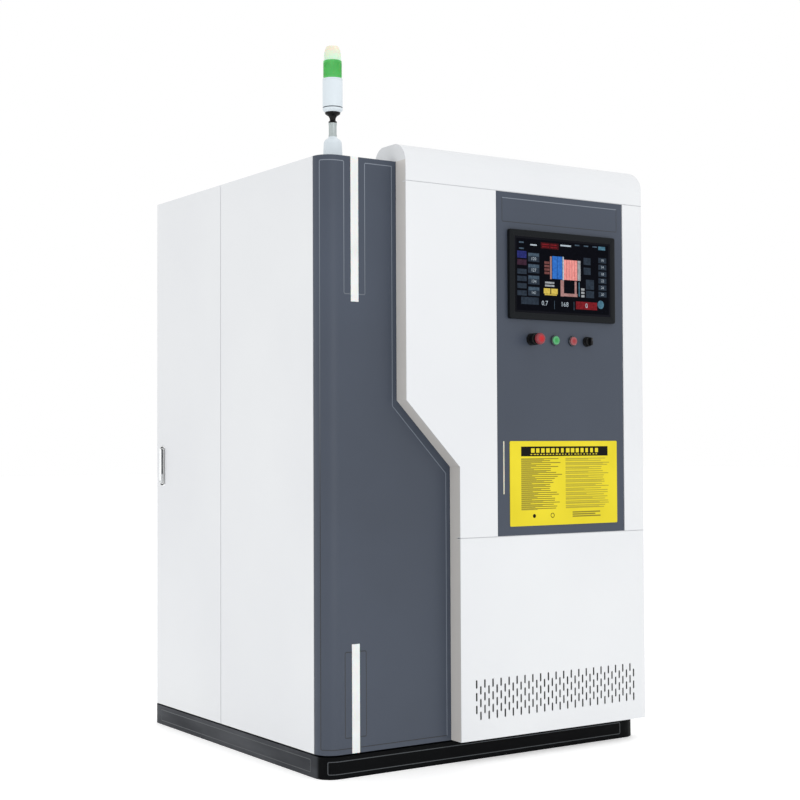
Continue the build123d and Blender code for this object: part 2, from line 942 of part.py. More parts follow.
# Signal light: turned pieces stacked on one axis
def make_signal_light():
    groove_diameter = light_body_diameter - 2 * light_groove
    pieces = {
        "signal_light_base": stacked(
            light_foot_diameter,
            (light_foot_height, light_neck_diameter),
            (light_shoulder_height, light_shoulder_diameter),
            (light_slope_height, light_pole_diameter),
        ),
        "signal_light_pole": stacked(
            light_pole_diameter,
            (light_pole_length, light_pole_diameter),
        ),
        "signal_light_joint": stacked(
            light_pole_diameter,
            (light_socket_height, light_pole_diameter),
            (light_waist_step, light_waist_diameter),
            (light_waist_height, light_waist_diameter),
            (light_cone_height, light_cone_diameter),
            (light_cone_rim, light_cone_diameter),
        ),
        "signal_light_body": stacked(
            light_cone_diameter,
            (light_body_edge, light_body_diameter),
            (light_ring_height, light_body_diameter),
            (light_groove, groove_diameter),
            (light_groove, light_body_diameter),
            (light_body_height, light_body_diameter),
        ),
        "signal_light_lens": stacked(
            light_lens_diameter,
            (light_lens_height, light_lens_diameter),
        ),
        "signal_light_cap": stacked(
            light_cap_diameter,
            (light_cap_wall_height, light_cap_diameter),
            (light_cap_shoulder_height, light_cap_shoulder_diameter),
            (light_cap_crown_height, light_cap_top_diameter),
        ),
    }
    z = body_top
    for name, (profile, height) in pieces.items():
        parts[name] = Pos(light_x, light_y, z) * turned(profile)
        z += height


# Vessel on its skirt, with the jacket bands, and the burner on top
def make_vessel():
    skirt_diameter = vessel_diameter - 2 * skirt_inset
    vessel = upright(skirt_diameter, floor_top, vessel_bottom, 0, vessel_y)
    shell = upright(vessel_diameter, vessel_bottom, vessel_top, 0, vessel_y)
    vessel += chamfer(shell.faces().sort_by(Axis.Z)[-1].edges(), vessel_chamfer)
    spacing = (vessel_top - vessel_bottom) / (band_count + 1)
    for band in range(band_count):
        z = vessel_bottom + spacing * (band + 1)
        vessel += upright(
            vessel_diameter + 2 * band_thickness, z - band_width / 2, z + band_width / 2, 0, vessel_y
        )
    parts["vessel"] = vessel
    neck_top = vessel_top + burner_neck_height
    drum = upright(burner_diameter, neck_top, burner_top, 0, vessel_y)
    drum = chamfer(drum.faces().sort_by(Axis.Z)[-1].edges(), burner_chamfer)
    parts["burner"] = drum + upright(burner_neck_diameter, vessel_top, neck_top, 0, vessel_y)


# Flue and pipes, each straight from the vessel or the burner through the back panel
def make_connections():
    clear = 2 * pipe_fit + 2 * band_thickness
    around_vessel = upright(vessel_diameter + clear, floor_top, body_top, 0, vessel_y)
    around_burner = upright(burner_diameter + 2 * pipe_fit, floor_top, body_top, 0, vessel_y)
    flue_bore = flue_diameter - 2 * flue_wall
    flue_end = back + flue_proud
    flue = rod(flue_diameter, vessel_y, flue_end, 0, flue_z)
    flue += rod(flue_diameter + 2 * rosette_width, back, back + rosette_thickness, 0, flue_z)
    flue -= rod(flue_bore, vessel_y, flue_end + overcut, 0, flue_z)
    parts["flue_outlet"] = flue - around_vessel

    tubes, flanges = [], []
    end = back + pipe_proud
    for (x, z), size in pipes:
        tube_solid = rod(size.outer, vessel_y, end, x, z)
        tube_solid -= rod(size.bore, vessel_y, end + overcut, x, z)
        tubes.append(tube_solid - (around_burner if z > vessel_top else around_vessel))
        start = end - size.flange_thickness
        flange = rod(size.flange, start, end, x, z)
        flange -= rod(size.outer + 2 * pipe_fit, start, end, x, z)
        for bolt in PolarLocations(size.bolt_circle / 2, bolt_count, start_angle=180 / bolt_count):
            spot = bolt.position
            flange -= rod(size.bolt_hole, start, end, x + spot.X, z + spot.Y)
        flanges.append(flange)
    parts["connection_pipes"] = Compound(children=tubes)
    parts["pipe_flanges"] = Compound(children=flanges)


make_plinth()
make_frame()
make_side_panels()
make_corner_panel()
make_inner_wall()
make_back_panel()
make_roof()
make_light_strips()
make_cover_left()
make_cover_right()
make_cover_lower()
make_cover_trim()
make_cover_rails()
make_hood()
make_control_panel()
make_screen()
make_emergency_stop()
make_push_buttons()
make_selector()
make_notice()
make_light_line()
make_side_door()
make_hinges()
make_handle()
make_signal_light()
make_vessel()
make_connections()

os.makedirs("parts", exist_ok=True)
for node, shape in parts.items():
    export_step(shape, f"parts/{node}.step")
print(len(parts), "nodes")
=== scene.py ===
# %% [markdown]
# # A cabinet steam boiler
#
# The real machine is a steel cabinet about 1.8 m high. White powder-coated panels stand on a black
# plinth, a slate corner carries two light strips, and a raised cover with a stepped left edge holds
# the touch screen. A small signal light stands on the roof.
#
# The solids come from CAD with the hinge, the handle and the buttons already in place. This file
# dresses them: it gives every panel its finish, and adds the small parts that CAD leaves plain.
# Run the cells from top to bottom. Each one prints what it made.

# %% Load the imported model
import math

import bmesh
import bpy
from mathutils import Matrix, Vector


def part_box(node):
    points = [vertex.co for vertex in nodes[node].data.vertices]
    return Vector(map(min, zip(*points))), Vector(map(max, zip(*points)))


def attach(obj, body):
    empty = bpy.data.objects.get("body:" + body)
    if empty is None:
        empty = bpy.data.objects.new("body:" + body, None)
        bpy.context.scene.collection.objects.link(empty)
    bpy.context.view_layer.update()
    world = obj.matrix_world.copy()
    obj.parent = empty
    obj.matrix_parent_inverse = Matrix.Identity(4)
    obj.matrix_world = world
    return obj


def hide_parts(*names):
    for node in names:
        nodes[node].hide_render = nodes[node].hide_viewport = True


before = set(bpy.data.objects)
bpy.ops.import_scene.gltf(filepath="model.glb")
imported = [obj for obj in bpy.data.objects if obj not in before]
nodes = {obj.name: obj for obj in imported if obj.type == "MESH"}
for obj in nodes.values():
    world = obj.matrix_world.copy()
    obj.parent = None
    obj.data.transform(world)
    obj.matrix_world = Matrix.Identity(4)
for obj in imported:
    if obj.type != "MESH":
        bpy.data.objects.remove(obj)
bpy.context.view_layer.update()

print("CAD pieces:", len(nodes))

# %% [markdown]
# ## The camera
#
# The photo was taken from the left of the machine with a moderate tele lens, almost level. A
# camera solved from the photo's straight edges gives its place, its turn and its focal length.
# It is made first, so that every later piece can be judged in the same view.

# %% Set up the camera
CAMERA_PLACE = Vector((-2.7564, -4.1986, 0.9317))
CAMERA_YAW = math.radians(-33.805)
CAMERA_PITCH = math.radians(1.689)
CAMERA_ROLL = math.radians(0.247)
LENS_MM = 68.25
SENSOR_MM = 36.0
QUARTER_TURN = math.radians(90)

camera_data = bpy.data.cameras.new("camera")
camera_data.lens = LENS_MM
camera_data.sensor_width = SENSOR_MM
camera = bpy.data.objects.new("camera", camera_data)
bpy.context.scene.collection.objects.link(camera)
look_level = Matrix.Rotation(QUARTER_TURN, 4, "X")
aim = (
    Matrix.Rotation(CAMERA_YAW, 4, "Z")
    @ Matrix.Rotation(CAMERA_PITCH, 4, "X")
    @ Matrix.Rotation(CAMERA_ROLL, 4, "Y")
)
camera.matrix_world = Matrix.Translation(CAMERA_PLACE) @ aim @ look_level
bpy.context.scene.camera = camera
print("camera at", tuple(round(value, 3) for value in camera.location))

# %% [markdown]
# ## Colours and nodes
#
# A paint card gives its colours for a screen. Blender mixes light, so the first helper undoes the
# screen's curve, with the numbers of the sRGB standard. The second one adds a node to a tree: each
# of its inputs gets a plain value, or a link from another node. Finishes and Geometry Nodes are
# both built with it.

# %% Helpers for colours and nodes
def shade(code):
    """A colour from a paint card, "#rrggbb", as the linear light that Blender mixes."""
    values = [int(code[start:start + 2], 16) / 255 for start in (1, 3, 5)]
    linear = [v / 12.92 if v <= 0.04045 else ((v + 0.055) / 1.055) ** 2.4 for v in values]
    return (*linear, 1.0)


def add_node(tree, kind, inputs, settings):
    """Adds a node to a tree. An input is a value, or the output of another node."""
    made = tree.nodes.new(kind)
    for key, value in settings.items():
        setattr(made, key, value)
    for key, value in inputs.items():
        if isinstance(value, bpy.types.NodeSocket):
            tree.links.new(value, made.inputs[key])
        else:
            made.inputs[key].default_value = value
    return made


print("middle grey on the card as light:", round(shade("#808080")[0], 3))

# %% [markdown]
# ## How a finish is built
#
# A finish is a small node tree. Nearly every one here starts from the piece's own coordinates in
# metres, so a grain of one millimetre is one millimetre on every piece. The class below keeps the
# few steps that repeat: a noise, a tint between two tones, a change of gloss and a relief.

# %% Helpers for finishes
MM = 0.001

# The Mix node keeps sockets of one name for several kinds, so its colours go by number.
MIX_SHARE = 0
MIX_FIRST = 6
MIX_SECOND = 7
MIX_RESULT = 2


class Finish:
    """A material under construction, with short ways to add the steps that repeat."""

    def __init__(self, name, colour, roughness, metallic=0.0):
        self.material = bpy.data.materials.new(name)
        self.material.use_nodes = True
        self.tree = self.material.node_tree
        self.shader = self.tree.nodes["Principled BSDF"]
        self.set("Base Color", shade(colour))
        self.set("Roughness", roughness)
        self.set("Metallic", metallic)
        self.place = self.tree.nodes.new("ShaderNodeTexCoord").outputs["Object"]

    def set(self, socket, value):
        """Gives the shader's own socket one value for the whole surface."""
        self.shader.inputs[socket].default_value = value

    def add(self, kind, inputs, **settings):
        """Adds a node to the finish."""
        return add_node(self.tree, kind, inputs, settings)

    def along(self, axis):
        """How far along an axis each spot lies, in metres."""
        return self.add("ShaderNodeSeparateXYZ", {"Vector": self.place}).outputs[axis]

    def mix(self, share, first, second):
        """Mixes two colours, or the outputs of nodes, by a share from 0 to 1."""
        inputs = {MIX_SHARE: share, MIX_FIRST: first, MIX_SECOND: second}
        return self.add("ShaderNodeMix", inputs, data_type="RGBA").outputs[MIX_RESULT]

    def noise(self, per_metre, detail=2.0, stretch=(1.0, 1.0, 1.0)):
        """A cloud pattern with so many features to the metre, drawn out along an axis if asked."""
        mapped = self.add("ShaderNodeMapping", {"Vector": self.place, "Scale": stretch})
        made = self.add(
            "ShaderNodeTexNoise",
            {"Vector": mapped.outputs[0], "Scale": per_metre, "Detail": detail},
        )
        return made.outputs[0]

    def range(self, mask, low, high, start=0.0, end=1.0):
        """Stretches a mask from start and end to low and high."""
        made = self.add(
            "ShaderNodeMapRange",
            {"Value": mask, "From Min": start, "From Max": end, "To Min": low, "To Max": high},
        )
        return made.outputs[0]

    def tint(self, mask, dark, light, start=0.3, end=0.7, socket="Base Color"):
        """Colours the surface from dark to light where the mask goes from start to end."""
        ramp = self.add("ShaderNodeValToRGB", {"Fac": mask})
        ramp.color_ramp.elements[0].position = start
        ramp.color_ramp.elements[0].color = shade(dark)
        ramp.color_ramp.elements[1].position = end
        ramp.color_ramp.elements[1].color = shade(light)
        self.tree.links.new(ramp.outputs[0], self.shader.inputs[socket])
        return ramp

    def gloss(self, mask, low, high):
        """Lets the roughness wander between two values."""
        self.tree.links.new(self.range(mask, low, high), self.shader.inputs["Roughness"])

    def relief(self, mask, height_mm, strength=1.0):
        """Raises the surface by the mask, on top of any relief that is there already."""
        bump = self.add(
            "ShaderNodeBump",
            {"Height": mask, "Distance": height_mm * MM, "Strength": strength},
        )
        target = self.shader.inputs["Normal"]
        if target.is_linked:
            self.tree.links.new(target.links[0].from_socket, bump.inputs["Normal"])
        self.tree.links.new(bump.outputs[0], target)


print("a millimetre, in metres:", MM)

# %% [markdown]
# ## Dressing a CAD piece
#
# A CAD piece already has its shape and its place, and both stay as they are. Only the material in
# its slots is swapped for a finish. All the pieces made of the same stuff share one finish, so a
# change to it shows on every one of them.

# %% Helper that dresses CAD pieces
def dress(finish, *names):
    """Gives CAD pieces a finish."""
    for name in names:
        for slot in nodes[name].material_slots:
            slot.material = finish.material


print("slots on the hood to dress:", len(nodes["hood"].material_slots))

# %% [markdown]
# ## Powder coat
#
# The panels are sheet steel sprayed with dry powder and baked. The film flows a little before it
# sets, which leaves a fine orange peel, and its tone and gloss drift slightly over a large panel.
# An image of paint would stretch and repeat, so both are noises at their real size.

# %% Painted sheet metal
PEEL_PER_METRE = 520.0
PEEL_HEIGHT_MM = 0.05
TONE_PER_METRE = 1.3
GLOSS_PER_METRE = 7.0


def powder_coat(name, dark, light, smooth, rough):
    """Baked powder paint between two close tones. Its roughness wanders from smooth to rough."""
    finish = Finish(name, light, rough)
    finish.tint(finish.noise(TONE_PER_METRE, detail=3.0), dark, light)
    finish.gloss(finish.noise(GLOSS_PER_METRE, detail=4.0), smooth, rough)
    finish.relief(finish.noise(PEEL_PER_METRE, detail=1.0), PEEL_HEIGHT_MM, strength=0.5)
    return finish


white_paint = powder_coat("white_paint", "#d3d5d8", "#d9dbdd", 0.30, 0.38)
grey_paint = powder_coat("grey_paint", "#373e4a", "#3f4755", 0.36, 0.46)
grey_paint.set("Specular IOR Level", 0.35)
edge_paint = powder_coat("edge_paint", "#c6c3bf", "#d1cecb", 0.36, 0.44)
frame_paint = powder_coat("frame_paint", "#55585c", "#606469", 0.42, 0.52)
burner_paint = powder_coat("burner_paint", "#8f2f22", "#a0382a", 0.30, 0.42)
dress(
    white_paint, "left_front_panel", "side_door", "right_front_panel", "right_rear_panel",
    "back_panel", "roof_panel", "hood", "cover_left", "cover_right", "cover_lower",
)
dress(grey_paint, "corner_panel", "control_panel", "front_inner_wall")
dress(edge_paint, "cover_edge_trim")
dress(frame_paint, "frame_posts", "top_frame", "floor_plate", "cover_rails", "hinge_arms")
dress(burner_paint, "burner")
print("painted sheet metal dressed")

# %% [markdown]
# ## The plinth
#
# The plinth is a ring of folded channel in a satin black. On the side by the door the black is
# painted grey: a painted highlight for the light that this side catches. A mask of the place lays
# it on: it reads how far to the left a spot lies, so it ends by itself at the corner.

# %% The plinth's paint and its painted highlight
plinth_low, plinth_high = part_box("plinth")
PLINTH_REFLECTION = 0.05
PAINTED_LIGHT_START = plinth_low.x + 0.003
PAINTED_LIGHT_END = plinth_low.x + 0.0005

plinth_paint = powder_coat("plinth_paint", "#040506", "#07080a", 0.44, 0.58)
plinth_paint.set("Specular IOR Level", PLINTH_REFLECTION)
# Painted highlight: the door's side of the black plinth is painted a cloudy grey.
painted_light_mask = plinth_paint.range(plinth_paint.along("X"), 0.0, 1.0, start=PAINTED_LIGHT_START, end=PAINTED_LIGHT_END)
painted_light_noise = plinth_paint.noise(5.0, detail=4.0, stretch=(1.0, 0.5, 2.0))
painted_light_cloud = plinth_paint.range(painted_light_noise, 0.0, 1.0, start=0.35, end=0.65)
painted_light_tone = plinth_paint.mix(painted_light_cloud, shade("#323438"), shade("#4a4c50"))
plinth_colour = plinth_paint.shader.inputs["Base Color"]
black_tone = plinth_colour.links[0].from_socket
plinth_paint.tree.links.new(plinth_paint.mix(painted_light_mask, black_tone, painted_light_tone), plinth_colour)
dress(plinth_paint, "plinth")
print("plinth height, metres:", round(plinth_high.z - plinth_low.z, 3))

# %% [markdown]
# ## Bare metal
#
# Behind the door and at the back, metal is left bare. Zinc from a hot bath sets in crystals, which
# a Voronoi pattern gives. Stainless sheet is brushed, and the grain is a noise drawn out along
# one axis. The vessel's jacket is aluminium sheet embossed with small dimples.

# %% Galvanised, brushed and embossed metal
SPANGLE_PER_METRE = 130.0
BRUSH_PER_METRE = 900.0
DIMPLES_PER_METRE = 160.0


def galvanised(name, dark, light):
    """Zinc-coated steel with its crystal spangle."""
    finish = Finish(name, light, 0.42, metallic=0.85)
    spangle = finish.add(
        "ShaderNodeTexVoronoi", {"Vector": finish.place, "Scale": SPANGLE_PER_METRE}
    )
    finish.tint(spangle.outputs["Color"], dark, light, start=0.1, end=0.9)
    finish.gloss(finish.noise(25.0, detail=3.0), 0.36, 0.52)
    finish.relief(finish.noise(300.0), 0.03, strength=0.4)
    return finish


def brushed(name, dark, light, stretch, roughness=0.3):
    """Metal with a brushed grain, drawn out along the axes where stretch is small."""
    finish = Finish(name, light, roughness, metallic=0.95)
    grain = finish.noise(BRUSH_PER_METRE, detail=3.0, stretch=stretch)
    finish.tint(grain, dark, light)
    finish.gloss(grain, roughness - 0.06, roughness + 0.1)
    finish.relief(grain, 0.01, strength=0.5)
    return finish


pipe_steel = galvanised("pipe_steel", "#8b8e91", "#b4b7ba")
hinge_steel = galvanised("hinge_steel", "#94979a", "#bcbfc2")
flue_steel = brushed("flue_steel", "#a3a5a7", "#c6c8ca", (1.0, 0.04, 1.0))
fastener_steel = brushed("fastener_steel", "#8d9093", "#b5b8bb", (1.0, 1.0, 0.3), 0.28)
vessel_jacket = Finish("vessel_jacket", "#c3c6c8", 0.34, metallic=0.9)
dimples = vessel_jacket.add(
    "ShaderNodeTexVoronoi", {"Vector": vessel_jacket.place, "Scale": DIMPLES_PER_METRE},
    feature="SMOOTH_F1",
).outputs["Distance"]
vessel_jacket.tint(vessel_jacket.noise(4.0, detail=4.0), "#b2b5b8", "#cdd0d2")
vessel_jacket.relief(dimples, 0.4, strength=0.35)
dress(pipe_steel, "connection_pipes", "pipe_flanges")
dress(hinge_steel, "hinge_leaves", "door_stiffeners")
dress(flue_steel, "flue_outlet")
dress(vessel_jacket, "vessel")
print("bare metal dressed")

# %% [markdown]
# ## Plastics and lenses
#
# The screen case, buttons and signal light are moulded. A mould is etched, so the surface has a
# very fine grain and no clouds. The light strips are opal plastic, which scatters what falls on
# it: a little subsurface scattering softens their edges.

# %% Moulded plastic and opal lenses
ETCH_PER_METRE = 2600.0


def moulded(name, colour, roughness, grain_mm=0.02, reflection=0.5):
    """Moulded plastic with the fine grain of an etched mould."""
    finish = Finish(name, colour, roughness)
    finish.set("Specular IOR Level", reflection)
    finish.gloss(finish.noise(60.0), roughness - 0.04, roughness + 0.05)
    finish.relief(finish.noise(ETCH_PER_METRE, detail=1.0), grain_mm, strength=0.5)
    return finish


def opal(name, dark, light, glow):
    """Opal plastic over a lamp: soft, pale and faintly lit from inside."""
    finish = Finish(name, light, 0.32)
    finish.tint(finish.noise(14.0), dark, light)
    finish.set("Subsurface Weight", 0.25)
    finish.set("Subsurface Scale", 0.004)
    finish.set("Emission Color", shade(light))
    finish.set("Emission Strength", glow)
    finish.relief(finish.noise(900.0), 0.01, strength=0.3)
    return finish


strip_lens = opal("strip_lens", "#d3d5d4", "#dcdedd", 0.04)
line_lens = opal("line_lens", "#b9b4a2", "#c6c1af", 0.04)
black_plastic = moulded("black_plastic", "#060607", 0.40, reflection=0.2)
screen_case = moulded("screen_case", "#101316", 0.46, reflection=0.1)
selector_black = moulded("selector_black", "#060607", 0.40, reflection=0.2)
stop_red = moulded("stop_red", "#ac0c17", 0.30, grain_mm=0.008, reflection=0.35)
button_red = moulded("button_red", "#8e1c24", 0.26, grain_mm=0.008)
start_green = moulded("start_green", "#1a8a3d", 0.26, grain_mm=0.008)
light_plastic = moulded("light_plastic", "#cdd6dc", 0.30, grain_mm=0.008)
bezel_metal = brushed("bezel_metal", "#55595d", "#74787c", (0.2, 1.0, 1.0), 0.36)
pole_metal = brushed("pole_metal", "#9fa8a8", "#bcc4c4", (1.0, 1.0, 0.05), 0.30)
dress(strip_lens, "light_strips")
dress(line_lens, "light_line")
print("plastics and lenses ready")

# %% [markdown]
# ## Turning
#
# Many small parts of a machine are turned on a lathe, or moulded as if they were. A cylinder with a
# bevel comes close, but it rounds every edge alike. Here a profile is drawn in millimetres, each
# corner is rounded by its own amount, and the profile is spun point by point.

# %% Helpers for turned pieces
def facing(x, y, z, turn=0.0):
    """A place whose local Z looks out of the front, or is turned about the vertical by degrees."""
    outwards = Matrix.Rotation(math.radians(turn), 4, "Z") @ Matrix.Rotation(QUARTER_TURN, 4, "X")
    return Matrix.Translation((x, y, z)) @ outwards


def round_corners(points, steps=4):
    """Rounds corners of a profile. A point is (radius, height), or has its rounding as a third."""
    result = []
    for index, point in enumerate(points):
        here = Vector(point[:2])
        if len(point) == 2:
            result.append(here)
            continue
        start = here + (Vector(points[index - 1][:2]) - here).normalized() * point[2]
        end = here + (Vector(points[index + 1][:2]) - here).normalized() * point[2]
        for step in range(steps + 1):
            share = step / steps
            result.append(start.lerp(here, share).lerp(here.lerp(end, share), share))
    return result


def turn_profile(points, steps=48, ring=False):
    """Spins a profile in millimetres round Z. A ring joins its last point to its first."""
    form = bmesh.new()
    loops = []
    for radius, height in round_corners(points):
        count = 1 if radius == 0 else steps
        loop = []
        for step in range(count):
            angle = 2 * math.pi * step / steps
            spot = Vector((radius * math.cos(angle), radius * math.sin(angle), height))
            loop.append(form.verts.new(spot * MM))
        loops.append(loop)
    pairs = list(zip(loops, loops[1:]))
    if ring:
        pairs.append((loops[-1], loops[0]))
    for low, high in pairs:
        for step in range(steps):
            after = step + 1
            corners = [
                low[step % len(low)], low[after % len(low)],
                high[after % len(high)], high[step % len(high)],
            ]
            corners = list(dict.fromkeys(corners))
            if len(corners) > 2:
                form.faces.new(corners)
    return form


print("turning helpers ready")

# %% [markdown]
# ## Lofting
#
# Parts that aren't round are mostly rounded rectangles that change a little from foot to face, such
# as a handle or a screen's case. A loft joins a stack of them. It keeps its faces in neat rows,
# which a box with bevels doesn't where three edges meet.

# %% Helpers for lofted pieces
def rounded_loop(width, height, corner, steps=5):
    """Points round a rectangle with rounded corners, centred on the origin."""
    points = []
    for quarter in range(4):
        side_x = 1 if quarter in (0, 3) else -1
        side_y = 1 if quarter in (0, 1) else -1
        for step in range(steps + 1):
            angle = QUARTER_TURN * (quarter + step / steps)
            points.append((
                side_x * (width / 2 - corner) + corner * math.cos(angle),
                side_y * (height / 2 - corner) + corner * math.sin(angle),
            ))
    return points


def loft(rings):
    """A closed form through rounded rectangles in millimetres: width, height, corner, depth."""
    form = bmesh.new()
    loops = []
    for width, height, corner, depth in rings:
        outline = rounded_loop(width, height, corner)
        loops.append([form.verts.new(Vector((x, y, depth)) * MM) for x, y in outline])
    for low, high in zip(loops, loops[1:]):
        for step in range(len(low)):
            after = (step + 1) % len(low)
            form.faces.new((low[step], low[after], high[after], high[step]))
    form.faces.new(loops[0])
    form.faces.new(loops[-1])
    return form


print("lofting helpers ready")

# %% [markdown]
# ## From a form to a piece of the machine
#
# A finished piece is a plain mesh whose object sits at the origin, unturned and unscaled, as the
# CAD pieces do. Its place is put into the mesh itself. Then the piece is told which moving body it
# rides on, so that a door takes its handle along.

# %% Helpers that make a form a piece
SMOOTH_ANGLE = math.radians(32)


def settle(name, form, place, finish, body):
    """Makes a form a finished piece: placed in its mesh, smoothed, and riding on a CAD body."""
    bmesh.ops.recalc_face_normals(form, faces=form.faces)
    mesh = bpy.data.meshes.new(name)
    form.to_mesh(mesh)
    form.free()
    mesh.transform(place)
    mesh.shade_smooth()
    mesh.set_sharp_from_angle(angle=SMOOTH_ANGLE)
    mesh.materials.append(finish.material)
    return adopt(name, mesh, body)


def adopt(name, mesh, body):
    """Links a finished mesh as a piece of the machine."""
    piece = bpy.data.objects.new(name, mesh)
    bpy.context.scene.collection.objects.link(piece)
    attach(piece, body)
    print(name, "faces:", len(mesh.polygons))
    return piece


def middle_of(name):
    """The middle of a CAD piece's box."""
    low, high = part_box(name)
    return (low + high) / 2


def foot_of(name):
    """A place at the middle of the foot of a CAD piece's box."""
    middle = middle_of(name)
    return Matrix.Translation((middle.x, middle.y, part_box(name)[0].z))


print("piece helpers ready, smooth up to degrees:", round(math.degrees(SMOOTH_ANGLE)))

# %% [markdown]
# ## The signal light's lens and dome
#
# The dome is milky plastic. The green light of the lens below is painted into it: a mask of the
# height tints it from a painted green glow at the foot to cream at the top. The lens is clear green
# plastic over a faint lamp: a coat gives it the gloss, and a little emission the light from inside.

# %% Plastic for the lens and the dome
cap_plastic = moulded("cap_plastic", "#e3ded2", 0.22, grain_mm=0.006)
cap_low, cap_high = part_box("signal_light_cap")
lens_glow_mask = cap_plastic.range(cap_plastic.along("Z"), 0.0, 1.0, start=cap_low.z, end=cap_high.z)
# Painted light: a green glow from the lens at the dome's foot, cream at its top.
cap_plastic.tint(lens_glow_mask, "#c4e2c8", "#e2d6c2", start=0.1, end=0.9)
cap_plastic.set("Subsurface Weight", 0.3)
cap_plastic.set("Subsurface Scale", 0.006)

lens_green = Finish("lens_green", "#3fae4d", 0.16)
lens_green.tint(lens_green.noise(30.0), "#2e9a3e", "#43ad50")
lens_green.relief(lens_green.noise(700.0), 0.01, strength=0.3)
lens_green.set("Subsurface Weight", 0.2)
lens_green.set("Subsurface Scale", 0.005)
lens_green.set("Coat Weight", 0.4)
lens_green.set("Emission Color", shade("#3fae4d"))
lens_green.set("Emission Strength", 0.12)
print("dome height, metres:", round(cap_high.z - cap_low.z, 3))

# %% [markdown]
# ## The signal light
#
# A signal light is a stack of turned modules: a foot, a tube, a black swivel joint, the housing
# with its seam ring, one green lens and a pale dome. CAD gives each module as a plain solid. The
# turned pieces here keep its heights and diameters, and add the rounded edges and the seams.

# %% Turn the signal light's modules
LIGHT_STEPS = 64


def stand_on(node, profile, finish):
    """Turns a module of the signal light on the foot of its CAD piece, and replaces that."""
    form = turn_profile(profile, LIGHT_STEPS)
    name = node.replace("signal_light", "beacon")
    piece = settle(name, form, foot_of(node), finish, "cabinet")
    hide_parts(node)


stand_on("signal_light_base", [
    (0, 0), (30, 0), (29.6, 4, 1), (28.4, 5, 0.6), (26, 52, 5), (22, 58, 3), (13.5, 64, 1.5),
    (12.6, 67, 0.5), (0, 67),
], light_plastic)
stand_on("signal_light_pole", [
    (0, 0), (12, 0), (12, 6, 0.4), (11.4, 6.5, 0.3), (11.4, 33.5, 0.3), (12, 34, 0.4), (12, 40),
    (0, 40),
], pole_metal)
stand_on("signal_light_joint", [
    (0, 0), (12, 0), (12, 4.5, 1), (8.6, 6.5, 1), (8.6, 13, 1.5), (12, 20, 2), (19.5, 25, 1.5),
    (22, 27, 0.8), (22, 31), (0, 31),
], black_plastic)
stand_on("signal_light_body", [
    (0, 0), (22, 0), (29, 6.2, 2), (29, 11.5, 0.4), (27, 12), (27, 14), (29, 14.5, 0.4),
    (29, 90.5, 0.4), (27.9, 91.5), (27.9, 93), (29, 94, 0.4), (29, 96.5), (0, 96.5),
], light_plastic)
stand_on("signal_light_lens", [
    (0, 0), (26.8, 0), (26.9, 4, 0.5), (26.2, 5), (26.2, 46.5), (26.9, 47.5, 0.5), (26.8, 51.5),
    (0, 51.5),
], lens_green)
stand_on("signal_light_cap", [
    (0, 0), (24.5, 0), (24.5, 22, 3), (21, 36, 4), (17.5, 42.6, 3), (0, 43),
], cap_plastic)

seam_rubber = moulded("seam_rubber", "#3c434a", 0.6, reflection=0.3)
seam_ring = turn_profile(
    [(26.8, 11.8), (28.4, 11.8), (28.4, 14.2), (26.8, 14.2)], LIGHT_STEPS, ring=True
)
seam_place = foot_of("signal_light_body")
settle("beacon_seam", seam_ring, seam_place, seam_rubber, "cabinet")

# %% [markdown]
# ## Buttons under the screen
#
# Each operator has a fixed collar or bezel and a cap that moves when pressed or turned. The fixed
# ring is bored, so the cap can travel through it. Both are turned, and each pair stands on the
# place of its CAD pieces: only the moving part rides on the moving body. The light and shade on a
# coloured cap's curved rim are painted in: a mask of the distance from its middle turns it greyer.

# %% Helpers for operators
PANEL_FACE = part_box("control_panel")[0].y
HEAD_STEPS = 56


def on_panel(node):
    """The place on the control panel's face in line with an operator."""
    centre = middle_of(node)
    return facing(centre.x, PANEL_FACE, centre.z)


def painted_rim_light(finish, node, greyer, reach):
    """Paints light and shade on a cap: greyer towards its rim, which lies so far from its middle.
    """
    centre = middle_of(node)
    face = {"X": centre.x, "Y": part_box(node)[0].y, "Z": centre.z}
    middle = finish.add("ShaderNodeCombineXYZ", face).outputs[0]
    away = finish.add(
        "ShaderNodeVectorMath", {0: finish.place, 1: middle}, operation="DISTANCE"
    ).outputs["Value"]
    mask = finish.range(away, 0.0, 1.0, start=0.0, end=reach)
    vivid = tuple(finish.shader.inputs["Base Color"].default_value)
    ramp = finish.tint(mask, "#000000", greyer, start=0.3, end=0.8)
    ramp.color_ramp.elements[0].color = vivid


def put_operator(name, node, profile, finish, body, ring=False):
    """Turns one operator part in place of its CAD piece."""
    form = turn_profile(profile, HEAD_STEPS, ring)
    piece = settle(name, form, on_panel(node), finish, body)
    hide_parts(node)


print("face of the control panel at y, metres:", round(PANEL_FACE, 4))

# %% [markdown]
# ## The emergency stop
#
# The stop button is a red mushroom head on a black collar, wide enough to be hit with a flat hand.
# A flattened sphere would look like it from afar. The real head has an upright rim for the fingers
# that pull it out again, and a shallow dip in its face, so it is turned from a profile.

# %% Turn the emergency stop
put_operator("stop_collar", "emergency_stop_collar", [
    (7.6, -20), (11, -20), (11, 0), (18, 0), (18, 6, 0.5), (17, 7), (17, 8.5), (18, 9.5, 0.5),
    (18, 26, 1.5), (15.5, 30, 1), (7.6, 30),
], black_plastic, "cabinet", ring=True)
put_operator("stop_head", "emergency_stop_head", [
    (0, 0), (7, 0), (7, 36), (15, 36, 1.2), (17.4, 39.5, 2), (17.4, 45, 2.5), (15.5, 49.4, 2),
    (11.5, 50.9, 1.5), (7.5, 50.2, 2), (0, 50),
], stop_red, "emergency_stop")
# Painted light and shade on the stop head's rim.
painted_rim_light(stop_red, "emergency_stop_head", "#7e3239", 0.0175)

# %% [markdown]
# ## The start and stop buttons
#
# The two push buttons differ only in colour, so one profile serves both bezels and another one both
# caps. A cap stands about 4 mm proud of its metal bezel, which is as far as it can be pressed.

